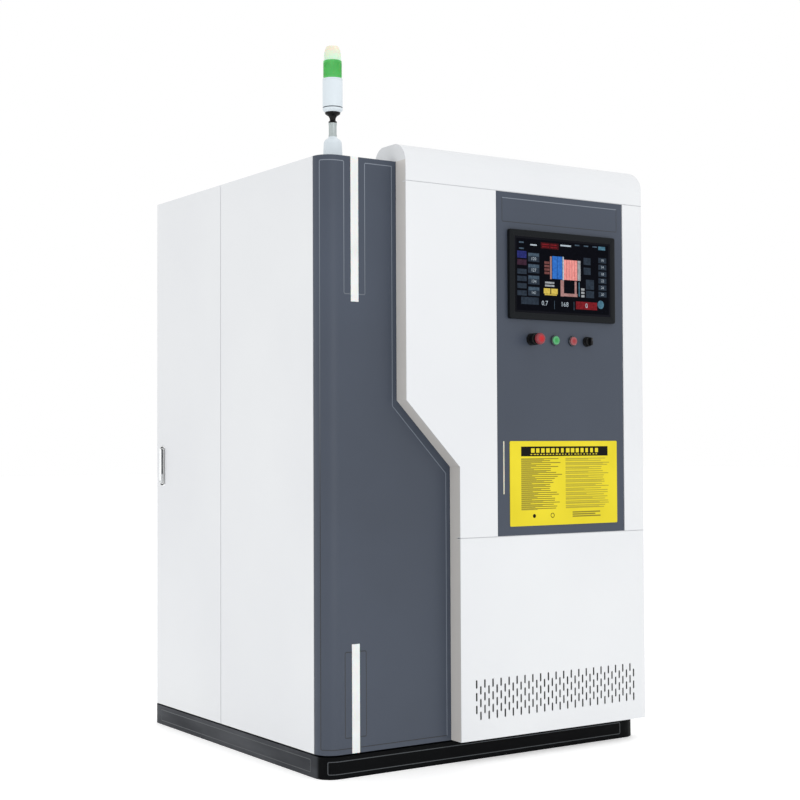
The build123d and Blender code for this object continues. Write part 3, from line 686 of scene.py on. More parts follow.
# %% Turn the push buttons
BEZEL_PROFILE = [
    (8.8, -20), (11, -20), (11, 0), (15.5, 0), (15.5, 4.6, 1.2), (14.8, 7, 0.5), (13.8, 7, 0.3),
    (13.6, 5.5, 0.3), (13.6, 0.8), (8.8, 0.8),
]
CAP_PROFILE = [
    (0, -12), (8.3, -12), (8.3, 5.6), (12.9, 5.6), (12.9, 9.8, 0.9), (11, 10.9, 0.8),
    (8.6, 10.5, 1), (0, 10.7),
]
for name in ("start_button", "stop_button"):
    form = turn_profile(BEZEL_PROFILE, HEAD_STEPS, ring=True)
    settle(name + "_bezel", form, on_panel(name), bezel_metal, "cabinet")
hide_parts("button_bezels")
put_operator("start_cap", "start_button", CAP_PROFILE, start_green, "start_button")
put_operator("stop_cap", "stop_button", CAP_PROFILE, button_red, "stop_button")
# Painted highlight on the rims of the two caps.
painted_rim_light(start_green, "start_button", "#4c9766", 0.013)
painted_rim_light(button_red, "stop_button", "#8a464b", 0.013)

# %% [markdown]
# ## The selector switch
#
# A selector is turned by a bar that stands across a round knob, and a grey line on the bar shows
# where it points. Knob and bar are one moulding. The knob is turned and the bar lofted, and the two
# meshes are joined before the piece is made.

# %% Turn the selector
put_operator("switch_bezel", "selector_bezel", [
    (7.6, -20), (11, -20), (11, 0), (15.5, 0), (15.5, 4.8, 1.2), (13.8, 7, 0.8), (7.6, 7),
], black_plastic, "cabinet", ring=True)
knob = turn_profile([
    (0, 0), (7, 0), (7, 7.6), (14.4, 7.6), (14.4, 14, 1.5), (12.4, 17, 1), (0, 17.4),
], HEAD_STEPS)
grip = loft([
    (9, 25, 3, 16.0), (8.6, 24.6, 3, 24.0), (7.4, 23.4, 3, 26.6), (5.0, 21.0, 2.4, 27.4),
])
grip_mesh = bpy.data.meshes.new("grip")
grip.to_mesh(grip_mesh)
grip.free()
knob.from_mesh(grip_mesh)
knob_piece = settle(
    "switch_knob", knob, on_panel("selector_knob"), selector_black, "selector"
)
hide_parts("selector_knob")
POINTER_UP = 0.0052
pointer_grey = moulded("pointer_grey", "#3c3f43", 0.4)
pointer = loft([(1.6, 9, 0.7, 27.2), (1.6, 9, 0.7, 27.5)])
pointer_place = on_panel("selector_knob") @ Matrix.Translation((0, POINTER_UP, 0))
settle("switch_pointer", pointer, pointer_place, pointer_grey, "selector")

# %% [markdown]
# ## The side door's handle
#
# The door is closed by a swing handle: a chromed plate let into the sheet, and a lever that turns
# a tongue behind it. Its sizes come from the boxes of the two CAD pieces, so the handle still fits
# when the CAD model changes. Heights are measured from the skin of the door, in millimetres.

# %% Finishes and sizes of the handle
handle_chrome = Finish("handle_chrome", "#f6f7f8", 0.24, metallic=0.1)
handle_chrome.tint(handle_chrome.noise(40.0, detail=3.0), "#f1f3f4", "#fafbfb")
handle_chrome.gloss(handle_chrome.noise(180.0), 0.20, 0.34)
handle_chrome.relief(handle_chrome.noise(400.0), 0.008, strength=0.4)
# Partly painted shade: the lever's dark body and grey boss stand for its shaded sides.
lever_shade_dark = powder_coat("lever_shade_dark", "#3f4246", "#4b4e52", 0.34, 0.46)
boss_shade_grey = powder_coat("boss_shade_grey", "#cfd1d3", "#dadcde", 0.30, 0.40)

TO_LEFT = -90.0
LEVER_GAP = 1.0
PIVOT_UP = 0.014
BOSS_LENGTH = 0.034
plate_low, plate_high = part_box("handle_plate")
lever_low, lever_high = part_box("handle_lever")
door_low, door_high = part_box("side_door")
plate_top = (door_low.x - plate_low.x) / MM
lever_top = (door_low.x - lever_low.x) / MM
lever_foot = plate_top + LEVER_GAP


def side_form(low, high, rings):
    """A loft the size of a box on the left side. A ring is an inset, a corner and a height."""
    width, height = (high.y - low.y) / MM, (high.z - low.z) / MM
    return loft([
        (width - 2 * inset, height - 2 * inset, corner, top) for inset, corner, top in rings
    ])


def on_door(low, high):
    """The middle of a box, on the skin of the door."""
    return facing(door_low.x, (low.y + high.y) / 2, (low.z + high.z) / 2, TO_LEFT)


print("lever stands proud, millimetres:", round(lever_top, 1))

# %% [markdown]
# ## The handle's plate and lever
#
# Plate and lever are lofts of rounded rectangles, with the last rings drawn in to round the edge
# that a hand touches. The plate's face is sunk inside a narrow rim. The lever is three pieces laid
# on each other, because it has three finishes: a dark body, a bright cap, and a grey boss round its
# pivot. These are partly painted light and shade: the bright cap for the light on the lever's face,
# the dark body and the grey boss for the shade on its sides.

# %% Loft the plate and the lever
plate_form = side_form(plate_low, plate_high, [
    (0, 6, -1.5), (0, 6, plate_top - 1.3), (0.6, 5.6, plate_top - 0.4), (1.6, 5, plate_top),
    (5.0, 7, plate_top), (5.4, 6.8, plate_top - 0.8),
])
settle(
    "handle_escutcheon", plate_form, on_door(plate_low, plate_high), handle_chrome, "side_door",
)
lever_form = side_form(lever_low, lever_high, [
    (0, 5.6, lever_foot), (0, 5.6, lever_top - 3.4), (0.5, 5.2, lever_top - 2.8),
])
lever_piece = settle(
    "swing_lever", lever_form, on_door(lever_low, lever_high), lever_shade_dark, "door_handle",
)
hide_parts("handle_lever")
cap_form = side_form(lever_low, lever_high, [
    (0.5, 5.2, lever_top - 3.0), (0.5, 5.2, lever_top - 1.0), (0.9, 4.9, lever_top - 0.5),
    (1.8, 4.2, lever_top - 0.3),
])
settle(
    "lever_cap", cap_form, on_door(lever_low, lever_high), handle_chrome, "door_handle",
)
boss_low, boss_high = lever_low.copy(), lever_high.copy()
boss_high.z = boss_low.z + BOSS_LENGTH
boss_form = side_form(boss_low, boss_high, [
    (-0.3, 5.9, lever_foot), (-0.3, 5.9, lever_top - 1.2), (0.4, 5.4, lever_top - 0.6),
])
settle(
    "lever_boss", boss_form, on_door(boss_low, boss_high), boss_shade_grey, "door_handle",
)

# %% [markdown]
# ## The handle's spindle and lock
#
# A spindle carries the lever through the plate, and a lock cylinder sits in the lever over it. Both
# are round and share one axis, so they are turned, and they ride on the lever's body.

# %% Turn the spindle and the lock
pivot_y = (lever_low.y + lever_high.y) / 2
pivot_place = facing(door_low.x, pivot_y, plate_low.z + PIVOT_UP, TO_LEFT)
spindle = turn_profile([(0, -3), (4.2, -3), (4.2, lever_foot + 1), (0, lever_foot + 1)], 32)
settle("swing_spindle", spindle, pivot_place, handle_chrome, "door_handle")
lock = turn_profile([
    (0, lever_top - 1), (3.9, lever_top - 1), (3.9, lever_top - 0.2, 0.15), (3.2, lever_top, 0.1),
    (2.9, lever_top - 0.2), (1.1, lever_top - 0.2), (1.1, lever_top - 0.6), (0, lever_top - 0.6),
], 40)
settle("lock_cylinder", lock, pivot_place, fastener_steel, "door_handle")
dress(handle_chrome, "handle_plate", "handle_lever")

# %% [markdown]
# ## The screen's housing and glass
#
# The touch screen is a moulded black case that stands 12 mm off the panel, with a sheet of dark
# glass let into its face. The case is one loft that runs up the side, over the rounded edge,
# across the face and down to the glass. The glass keeps its CAD solid and gets a glossy finish.

# %% Loft the screen's housing
case_low, case_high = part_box("screen_housing")
glass_low, glass_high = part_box("screen_glass")
case_width = (case_high.x - case_low.x) / MM
case_height = (case_high.z - case_low.z) / MM
window_width = (glass_high.x - glass_low.x) / MM
window_height = (glass_high.z - glass_low.z) / MM
proud = (PANEL_FACE - case_low.y) / MM
glass_depth = (PANEL_FACE - glass_low.y) / MM
CASE_EDGE = 2.4
EDGE_STEP = 1.4
WINDOW_LIP = 2.0
WINDOW_GAP = 0.6

case_mid = (case_low + case_high) / 2
screen_place = facing(case_mid.x, PANEL_FACE, case_mid.z)
case_form = loft([
    (case_width, case_height, 6, -1),
    (case_width, case_height, 6, proud - CASE_EDGE),
    (case_width - EDGE_STEP, case_height - EDGE_STEP, 5.4, proud - 0.8),
    (case_width - 2 * CASE_EDGE, case_height - 2 * CASE_EDGE, 4.6, proud),
    (window_width + 2 * WINDOW_LIP, window_height + 2 * WINDOW_LIP, 3, proud),
    (window_width + WINDOW_GAP, window_height + WINDOW_GAP, 2, glass_depth),
    (window_width + WINDOW_GAP, window_height + WINDOW_GAP, 2, glass_depth - 2),
])
case_piece = settle("screen_case", case_form, screen_place, screen_case, "cabinet")
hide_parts("screen_housing")

screen_glass = Finish("screen_glass", "#07080d", 0.08)
screen_glass.tint(screen_glass.noise(9.0), "#05060a", "#0b0c14")
screen_glass.gloss(screen_glass.noise(50.0), 0.05, 0.12)
screen_glass.set("Specular IOR Level", 0.06)
dress(screen_glass, "screen_glass")

# %% [markdown]
# ## Geometry Nodes: one helper for every tree
#
# What repeats or follows a path is grown by Geometry Nodes: the tiles and lines on the screen, the
# print on the notice, the beads pressed in the sheet, the ribs of the lens and the screws. Each
# tree has named inputs for its sizes. After it has run, the result is kept as a plain mesh, since
# an exported model can't carry live nodes.

# %% Helpers for Geometry Nodes
# The Random Value node keeps sockets of one name for several kinds, so its numbers go by place.
RANDOM_LOWEST = 2
RANDOM_HIGHEST = 3
RANDOM_RESULT = 1


class Grower:
    """A Geometry Nodes tree under construction, with a named input for each of its sizes."""

    def __init__(self, name, **sizes):
        self.tree = bpy.data.node_groups.new(name, "GeometryNodeTree")
        self.tree.is_modifier = True
        self.port("Geometry", "Geometry")
        for label, kind in sizes.items():
            self.port(label.replace("_", " ").title(), kind)
        self.port("Material", "Material")
        self.tree.interface.new_socket(
            "Geometry", in_out="OUTPUT", socket_type="NodeSocketGeometry"
        )
        self.inputs = self.tree.nodes.new("NodeGroupInput").outputs
        self.outcome = self.tree.nodes.new("NodeGroupOutput").inputs["Geometry"]

    def port(self, label, kind):
        """Adds a named input."""
        self.tree.interface.new_socket(label, in_out="INPUT", socket_type="NodeSocket" + kind)

    def add(self, kind, inputs, **settings):
        """Adds a node to the tree."""
        return add_node(self.tree, kind, inputs, settings)

    def vector(self, x=0.0, y=0.0, z=0.0):
        """Joins three numbers to a vector."""
        return self.add("ShaderNodeCombineXYZ", {"X": x, "Y": y, "Z": z}).outputs[0]

    def arithmetic(self, operation, first, second):
        """Works out one number from two, such as MULTIPLY or SUBTRACT."""
        return self.add("ShaderNodeMath", {0: first, 1: second}, operation=operation).outputs[0]

    def random(self, lowest, highest):
        """A random number for each point, from the tree's own input named Seed."""
        inputs = {RANDOM_LOWEST: lowest, RANDOM_HIGHEST: highest, "Seed": self.inputs["Seed"]}
        made = self.add("FunctionNodeRandomValue", inputs, data_type="FLOAT")
        return made.outputs[RANDOM_RESULT]

    def end(self, geometry):
        """Makes the instances real, gives them the material and ends the tree."""
        real = self.add("GeometryNodeRealizeInstances", {"Geometry": geometry}).outputs[0]
        painted = self.add(
            "GeometryNodeSetMaterial", {"Geometry": real, "Material": self.inputs["Material"]}
        )
        self.tree.links.new(painted.outputs[0], self.outcome)

    def grow(self, name, start, finish, body, slot, place=None, **sizes):
        """Runs the tree on a start mesh and keeps the result as a plain piece."""
        carrier = bpy.data.objects.new(name + "_start", start)
        bpy.context.scene.collection.objects.link(carrier)
        modifier = carrier.modifiers.new("grow", "NODES")
        modifier.node_group = self.tree
        values = {label.replace("_", " ").title(): value for label, value in sizes.items()}
        values["Material"] = finish.material
        for item in self.tree.interface.items_tree:
            if item.in_out == "INPUT" and item.name in values:
                modifier[item.identifier] = values[item.name]
        depsgraph = bpy.context.evaluated_depsgraph_get()
        mesh = bpy.data.meshes.new_from_object(carrier.evaluated_get(depsgraph))
        carrier.modifiers.remove(modifier)
        bpy.data.objects.remove(carrier)
        if place is not None:
            mesh.transform(place)
        mesh.name = name
        mesh.shade_smooth()
        mesh.set_sharp_from_angle(angle=SMOOTH_ANGLE)
        adopt(name, mesh, body)


print("Geometry Nodes helper ready")

# %% [markdown]
# ## What a tree starts from
#
# A tree needs a mesh to work on. For a path it is a row of points joined by edges, for screws it is
# loose points, and for a pattern that brings its own grid or circle it is a single point.

# %% Helpers for start meshes
def path_mesh(spots, closed=False, joined=True):
    """A mesh of points, in metres, joined one to the next."""
    mesh = bpy.data.meshes.new("path")
    edges = []
    if joined:
        edges = [(index, index + 1) for index in range(len(spots) - 1)]
        if closed:
            edges.append((len(spots) - 1, 0))
    mesh.from_pydata([tuple(spot) for spot in spots], edges, [])
    return mesh


def one_point():
    """A mesh of one point, for a tree that lays out its own pattern."""
    return path_mesh([(0, 0, 0)])


print("start mesh helpers ready")

# %% [markdown]
# ## What the screen shows
#
# The screen shows a plant diagram: two tanks side by side, pipes below them, tiles of readings
# left and right, and a row of keys at the bottom. Each group is a grid of flat tiles, grown by one
# tree, whose inputs are the grid's pitch and the tile's size. The readings are plain numbers.

# %% A tree for tiles
tiles = Grower(
    "display_tiles", columns="Int", rows="Int", pitch_x="Float", pitch_y="Float",
    tile_width="Float", tile_height="Float",
)


def grid_side(count, pitch):
    """The length of a grid with so many points at a pitch."""
    return tiles.arithmetic("MULTIPLY", tiles.arithmetic("SUBTRACT", count, 1.0), pitch)


tile_points = tiles.add("GeometryNodeMeshGrid", {
    "Size X": grid_side(tiles.inputs["Columns"], tiles.inputs["Pitch X"]),
    "Size Y": grid_side(tiles.inputs["Rows"], tiles.inputs["Pitch Y"]),
    "Vertices X": tiles.inputs["Columns"],
    "Vertices Y": tiles.inputs["Rows"],
})
tile_shape = tiles.add("GeometryNodeMeshGrid", {
    "Size X": tiles.inputs["Tile Width"], "Size Y": tiles.inputs["Tile Height"],
    "Vertices X": 2, "Vertices Y": 2,
})
tiles.end(tiles.add("GeometryNodeInstanceOnPoints", {
    "Points": tile_points.outputs["Mesh"], "Instance": tile_shape.outputs["Mesh"],
}).outputs[0])
print("tile tree nodes:", len(tiles.tree.nodes))

# %% [markdown]
# ## Places on the display
#
# A designer lays out a display in shares of its width and height, so that the same picture fits
# any size of screen. The helpers do the same. Tiles lie in layers a few hundredths of a millimetre
# apart: two faces in exactly one plane would flicker.

# %% Helpers for the display
LAYER = 0.00006
DISPLAY_MARGIN = 12.0
display_width = (window_width - DISPLAY_MARGIN) * MM
display_height = (window_height - DISPLAY_MARGIN) * MM
display_place = facing(case_mid.x, glass_low.y, case_mid.z)


def on_display(across, up, layer):
    """A place on the display. Across and up are shares of its width and height."""
    return display_place @ Matrix.Translation((
        (across - 0.5) * display_width, (up - 0.5) * display_height, layer * LAYER,
    ))


def show(
    name, across, up, finish, columns=1, rows=1, pitch=(0.05, 0.05), size=(0.1, 0.1), layer=1
):
    """Puts a grid of tiles on the display. Places and sizes are shares of its width and height."""
    tiles.grow(
        name, one_point(), finish, "cabinet", "screen_glass", on_display(across, up, layer),
        columns=columns, rows=rows,
        pitch_x=pitch[0] * display_width, pitch_y=pitch[1] * display_height,
        tile_width=size[0] * display_width, tile_height=size[1] * display_height,
    )


print("display, millimetres:", round(display_width / MM), "by", round(display_height / MM))

# %% [markdown]
# ## The colours of the display
#
# A display shines by itself, so each colour has a little emission besides its plain tone. The back
# light of a real one is never quite even, and a faint noise stands for that.

# %% Colours of the display
def lit(name, dark, light, glow):
    """A lit area of the display, with the faint unevenness of its back light."""
    finish = Finish(name, light, 0.22)
    finish.set("Specular IOR Level", 0.02)
    for socket in ("Base Color", "Emission Color"):
        finish.tint(finish.noise(160.0), dark, light, socket=socket)
    finish.set("Emission Strength", glow)
    return finish


ground_light = lit("display_ground", "#04050a", "#07080f", 0.03)
slate_light = lit("display_slate", "#1f262f", "#2b343f", 0.06)
steel_light = lit("display_steel", "#32404d", "#43525f", 0.07)
indigo_light = lit("display_indigo", "#1c2052", "#282d68", 0.08)
plum_light = lit("display_plum", "#2b1a25", "#382431", 0.06)
wine_light = lit("display_wine", "#2e0d10", "#471216", 0.06)
teal_light = lit("display_teal", "#345667", "#4b7182", 0.08)
pale_light = lit("display_pale", "#87929b", "#aab4bc", 0.10)
blue_light = lit("display_blue", "#22529a", "#3068b2", 0.12)
pink_light = lit("display_pink", "#c37470", "#d58d87", 0.12)
rose_light = lit("display_rose", "#86625f", "#9b7673", 0.08)
rotor_light = lit("display_rotor", "#5a3634", "#6e4341", 0.06)
grey_light = lit("display_grey", "#787b7e", "#94979a", 0.08)
yellow_light = lit("display_yellow", "#a8913c", "#bfa84f", 0.10)
red_light = lit("display_red", "#5a1319", "#741c23", 0.08)
print("display colours ready")

# %% [markdown]
# ## The plant diagram
#
# A diagram like this is drawn from left to right as the water flows: the blower, the water side in
# blue, the hot side in pink, the flue in grey. Below it run the feed pipes, the gas train and the
# legs. Each of them is one tile or a small grid of tiles.

# %% Lay out the diagram
show("display_ground", 0.5, 0.5, ground_light, size=(1.0, 1.0), layer=0.5)

show("display_blower", 0.322, 0.615, rotor_light, 1, 4, (0.05, 0.048), (0.055, 0.034))
show("display_cold_edge", 0.364, 0.62, rose_light, size=(0.018, 0.32))
show("display_water", 0.433, 0.627, blue_light, 2, 1, (0.055, 0.05), (0.052, 0.32))
show("display_water_edge", 0.497, 0.62, pale_light, size=(0.014, 0.34))
show("display_steam", 0.577, 0.607, pink_light, 5, 1, (0.0295, 0.05), (0.0275, 0.285))
show("display_flue", 0.67, 0.607, grey_light, size=(0.033, 0.285))
show("display_feed", 0.35, 0.387, grey_light, 1, 2, (0.05, 0.042), (0.10, 0.026))
show("display_gas", 0.361, 0.29, yellow_light, 2, 1, (0.08, 0.05), (0.07, 0.075))
show("display_gas_line", 0.361, 0.24, yellow_light, size=(0.13, 0.018))
show("display_first_leg", 0.485, 0.342, rose_light, size=(0.036, 0.23))
show("display_second_leg", 0.631, 0.342, rose_light, size=(0.022, 0.22))
show("display_drain", 0.67, 0.342, teal_light, size=(0.011, 0.20))
show("display_base", 0.57, 0.252, rose_light, size=(0.16, 0.042), layer=1.5)
show("display_valve", 0.71, 0.297, grey_light, 1, 3, (0.03, 0.048), (0.036, 0.032))

# %% [markdown]
# ## The tiles round the diagram
#
# Menu tiles and readings stand on both sides of the diagram, marks and a clock along the top, and
# keys along the foot. The two columns of readings have named places, because their numbers have to
# find the tiles again. One key is round, so it is turned.

# %% Lay out the tiles and the keys
METERS = 4
METER_ACROSS = 0.181
METERS_UP = 0.51
METER_PITCH = 0.158
VALUES = 6
VALUE_ACROSS = 0.93
VALUES_UP = 0.535
VALUE_PITCH = 0.098

show("display_menu_top", 0.057, 0.775, indigo_light, size=(0.098, 0.098))
show("display_menu_alarm", 0.057, 0.668, plum_light, size=(0.098, 0.08))
show("display_menu", 0.057, 0.39, slate_light, 1, 4, (0.1, 0.10), (0.098, 0.07))
meter_pitch = (0.1, METER_PITCH)
show(
    "display_meters", METER_ACROSS, METERS_UP, slate_light, 1, METERS, meter_pitch, (0.12, 0.125)
)
show(
    "display_meter_heads", METER_ACROSS, METERS_UP + 0.035, steel_light, 1, METERS, meter_pitch,
    (0.112, 0.042), 1.5,
)
show("display_corner", 0.14, 0.137, slate_light, size=(0.185, 0.10))
show("display_near_tiles", 0.76, 0.68, slate_light, 1, 2, (0.1, 0.14), (0.078, 0.10))
show("display_near_high", 0.79, 0.42, slate_light, size=(0.09, 0.14))
show("display_near_low", 0.79, 0.28, slate_light, size=(0.09, 0.10))
show(
    "display_right", VALUE_ACROSS, VALUES_UP, slate_light, 1, VALUES, (0.1, VALUE_PITCH),
    (0.09, 0.075),
)

show("display_marks", 0.053, 0.902, steel_light, 1, 2, (0.1, 0.085), (0.05, 0.02))
show("display_mark", 0.18, 0.92, pale_light, size=(0.07, 0.018))
show("display_warning", 0.353, 0.925, wine_light, size=(0.19, 0.085))
show("display_warning_text", 0.353, 0.925, red_light, 2, 2, (0.085, 0.034), (0.072, 0.016), 1.5)
show("display_title", 0.526, 0.948, pale_light, size=(0.115, 0.022))
show("display_subtitles", 0.749, 0.968, steel_light, 3, 1, (0.098, 0.05), (0.05, 0.018))
show("display_clock", 0.924, 0.955, teal_light, size=(0.078, 0.05))
show("display_key_gaps", 0.506, 0.10, steel_light, 2, 1, (0.212, 0.05), (0.005, 0.12))
show("display_stop_key", 0.75, 0.114, red_light, size=(0.234, 0.11))

round_key = turn_profile([(0, 0.1), (13, 0.1), (13, 0.14), (0, 0.14)], 40)
key_place = on_display(0.908, 0.1425, 0)
settle("display_round_key", round_key, key_place, teal_light, "cabinet")

# %% [markdown]
# ## The readings
#
# The readings are plain numbers. Each is a flat text curve, kept as a mesh as soon as it is typed,
# because its outline has to be moved to the display as points. All the numbers of one colour are
# then joined to one piece, so that the display doesn't become dozens of tiny objects.

# %% Write the readings
NUMBER_LAYER = 2.2


def write(words, across, up, height):
    """Writes plain numbers on the display as flat outlines."""
    curve = bpy.data.curves.new("reading", "FONT")
    curve.body = words
    curve.size = height * display_height
    curve.align_x = "CENTER"
    curve.align_y = "CENTER"
    curve.resolution_u = 2
    carrier = bpy.data.objects.new("reading", curve)
    bpy.context.scene.collection.objects.link(carrier)
    depsgraph = bpy.context.evaluated_depsgraph_get()
    mesh = bpy.data.meshes.new_from_object(carrier.evaluated_get(depsgraph))
    bpy.data.objects.remove(carrier)
    mesh.transform(on_display(across, up, NUMBER_LAYER))
    return mesh


def column_up(middle, pitch, count, row):
    """How high a row of a column stands, counted from the top."""
    return middle + pitch * ((count - 1) / 2 - row)


def join_meshes(name, meshes, finish, body):
    """Joins flat meshes to one piece."""
    form = bmesh.new()
    for mesh in meshes:
        form.from_mesh(mesh)
    joined = bpy.data.meshes.new(name)
    form.to_mesh(joined)
    form.free()
    joined.materials.append(finish.material)
    adopt(name, joined, body)


numbers = []
for row in range(METERS):
    up = column_up(METERS_UP, METER_PITCH, METERS, row) - 0.022
    numbers.append(write(str(120 + 7 * row), METER_ACROSS, up, 0.062))
for row in range(VALUES):
    up = column_up(VALUES_UP, VALUE_PITCH, VALUES, row)
    numbers.append(write(str(10 + 4 * row), VALUE_ACROSS, up, 0.055))
for words, across in (("0.7", 0.296), ("168", 0.51), ("0", 0.75)):
    numbers.append(write(words, across, 0.113, 0.095))
join_meshes("display_numbers", numbers, pale_light, "cabinet")

# %% [markdown]
# ## The notice
#
# The yellow plate under the buttons is a printed instruction. Here it carries only the look of
# print: a black band with yellow blocks, and two columns of thin lines. The plate keeps its CAD
# solid, and the print lies on it in black and two brown inks.

# %% Finishes of the notice
notice_yellow = Finish("notice_yellow", "#d9c81c", 0.34)
notice_yellow.tint(notice_yellow.noise(6.0, detail=3.0), "#d2c118", "#dccb22")
notice_yellow.set("Specular IOR Level", 0.25)
notice_yellow.gloss(notice_yellow.noise(120.0), 0.28, 0.42)
notice_yellow.relief(notice_yellow.noise(800.0), 0.01, strength=0.4)
dress(notice_yellow, "notice_plate")
print_black = moulded("print_black", "#080805", 0.46, reflection=0.1)
print_brown = moulded("print_brown", "#82771f", 0.45, reflection=0.2)
print_soft = moulded("print_soft", "#a3962a", 0.45, reflection=0.2)
notice_low, notice_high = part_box("notice_plate")
notice_width = notice_high.x - notice_low.x
notice_height = notice_high.z - notice_low.z
print("notice, metres:", round(notice_width, 3), "by", round(notice_height, 3))

# %% [markdown]
# ## A tree for printed lines
#
# A printed line is a flat bar whose left end stands on its point. The tree stretches one square to
# the height of a line and to a random length, so each row ends where a line of print might. The
# seed is fixed, so that every run gives the same print.

# %% A tree for printed lines
lines = Grower(
    "printed_lines", shortest="Float", longest="Float", line_height="Float", seed="Int",
)
line_length = lines.random(lines.inputs["Shortest"], lines.inputs["Longest"])
line_shape = lines.add("GeometryNodeMeshGrid", {
    "Size X": 1.0, "Size Y": 1.0, "Vertices X": 2, "Vertices Y": 2,
}).outputs["Mesh"]
from_left = lines.add(
    "GeometryNodeTransform", {"Geometry": line_shape, "Translation": (0.5, 0.0, 0.0)}
).outputs[0]
lines.end(lines.add("GeometryNodeInstanceOnPoints", {
    "Points": lines.inputs["Geometry"], "Instance": from_left,
    "Scale": lines.vector(line_length, lines.inputs["Line Height"], 1.0),
}).outputs[0])
print("line tree nodes:", len(lines.tree.nodes))

# %% [markdown]
# ## The columns of print
#
# The print stands in two columns, long lines with shorter ones among them, and a few more lines
# stand at the foot. Places are shares of the plate again. The black band of the heading is grown
# first, as a column of one high line.

# %% Print the columns
notice_place = facing(notice_low.x, notice_low.y, notice_low.z)
PRINT_LAYER = 0.00005


def print_lines(name, spots, finish, layer, shortest, longest, height, seed):
    """Prints a line at every spot. Places and sizes are shares of the plate."""
    places = [(left * notice_width, up * notice_height, layer * PRINT_LAYER) for left, up in spots]
    lines.grow(
        name, path_mesh(places, joined=False), finish, "cabinet", "notice_yellow", notice_place,
        shortest=shortest * notice_width, longest=longest * notice_width,
        line_height=height * notice_height, seed=seed,
    )


def print_column(name, finish, left, top, bottom, rows, width, ragged, height, seed):
    """Prints a column of lines. Ragged is the shortest line's share of the column's width."""
    spots = [(left, top + (bottom - top) * row / max(rows - 1, 1)) for row in range(rows)]
    print_lines(name, spots, finish, 1, ragged * width, width, height, seed)


print_column(
    "notice_band", print_black, left=0.10, top=0.878, bottom=0.878, rows=1, width=0.81,
    ragged=1.0, height=0.115, seed=1,
)
print_column(
    "notice_left_lines", print_brown, left=0.10, top=0.79, bottom=0.20, rows=26, width=0.38,
    ragged=0.65, height=0.0105, seed=4,
)
print_column(
    "notice_left_heads", print_soft, left=0.10, top=0.78, bottom=0.19, rows=26, width=0.24,
    ragged=0.30, height=0.0085, seed=21,
)
print_column(
    "notice_right_lines", print_soft, left=0.507, top=0.79, bottom=0.20, rows=24, width=0.42,
    ragged=0.80, height=0.0105, seed=9,
)
print_column(
    "notice_right_heads", print_soft, left=0.507, top=0.78, bottom=0.21, rows=12, width=0.38,
    ragged=0.40, height=0.007, seed=33,
)
print_column(
    "notice_small_blocks", print_brown, left=0.57, top=0.145, bottom=0.095, rows=3, width=0.28,
    ragged=0.75, height=0.016, seed=12,
)

# %% [markdown]
# ## The notice's heading and signs
#
# The heading is a row of blank yellow blocks on the black band, with a row of small dashes under
# them, one layer above the band. The two signs are a plain ring and a plain disc. They are turned,
# because a grown line is always a bar.

# %% Print the heading and the signs
HEADING_LAYER = 2
SIGN_UP = 0.115
SIGN_FOOT = 0.05
SIGN_TOP = 0.1
SIGN_STEPS = 40


def print_heading(name, count, left, pitch, up, shortest, longest, height, seed):
    """Prints a row of blank marks on the black band."""
    spots = [(left + pitch * index, up) for index in range(count)]
    print_lines(name, spots, notice_yellow, HEADING_LAYER, shortest, longest, height, seed)


print_heading(
    "notice_band_blocks", count=14, left=0.19, pitch=0.046, up=0.888, shortest=0.022,
    longest=0.034, height=0.052, seed=3,
)
print_heading(
    "notice_band_dashes", count=22, left=0.185, pitch=0.029, up=0.842, shortest=0.008,
    longest=0.022, height=0.010, seed=5,
)
ring_form = turn_profile(
    [(5.5, SIGN_FOOT), (7.5, SIGN_FOOT), (7.5, SIGN_TOP), (5.5, SIGN_TOP)], SIGN_STEPS, ring=True
)
disc_form = turn_profile(
    [(0, SIGN_FOOT), (6.0, SIGN_FOOT), (6.0, SIGN_TOP), (0, SIGN_TOP)], SIGN_STEPS
)
sign_z = notice_low.z + SIGN_UP * notice_height
for name, form, across in (("notice_ring", ring_form, 0.384), ("notice_disc", disc_form, 0.217)):
    spot = facing(notice_low.x + across * notice_width, notice_low.y, sign_z)
    settle(name, form, spot, print_black, "cabinet")

# %% [markdown]
# ## A tree for beads
#
# A shallow bead stiffens thin sheet, and it follows a path. So one tree does all of them, and the
# rubber cords further down too. It rounds the path's corners and sweeps a small round section along
# it. A bead lies so deep that only a sliver of the section stands out of the sheet.

# %% A tree for beads
beads = Grower("pressed_beads", bead_width="Float", corner_radius="Float")
bead_path = beads.add(
    "GeometryNodeMeshToCurve", {"Mesh": beads.inputs["Geometry"]}
).outputs[0]
bead_round = beads.add(
    "GeometryNodeFilletCurve",
    {"Curve": bead_path, "Radius": beads.inputs["Corner Radius"], "Count": 4},
    mode="POLY",
).outputs[0]
bead_radius = beads.arithmetic("MULTIPLY", beads.inputs["Bead Width"], 0.5)
bead_section = beads.add(
    "GeometryNodeCurvePrimitiveCircle", {"Resolution": 10, "Radius": bead_radius}
)
beads.end(beads.add("GeometryNodeCurveToMesh", {
    "Curve": bead_round, "Profile Curve": bead_section.outputs[0], "Fill Caps": True,
}).outputs[0])
print("bead tree nodes:", len(beads.tree.nodes))

# %% [markdown]
# ## The beads' finishes and sizes
#
# A bead is pressed in the sheet, and it shows as a thin line where it catches the light. Its finish
# paints that light in, in a tone lighter than the sheet: a painted highlight high up that turns to
# painted shade near the floor, by a mask of the height. Along the step of the cover, where the
# sheet lies in soft shade, the line is a painted highlight all the way.

# %% Finishes and sizes of the beads
BEAD_WIDTH = 0.004
BEAD_PROUD = 0.0005
BEAD_INSET = 0.015
BEAD_DEPTH = BEAD_WIDTH / 2 - BEAD_PROUD
CORNER_RADIUS = 0.052
# Painted shade near the floor and painted highlight high up, on the beads.
BEAD_DARK = "#191e25"
BEAD_LIGHT = "#6f7782"

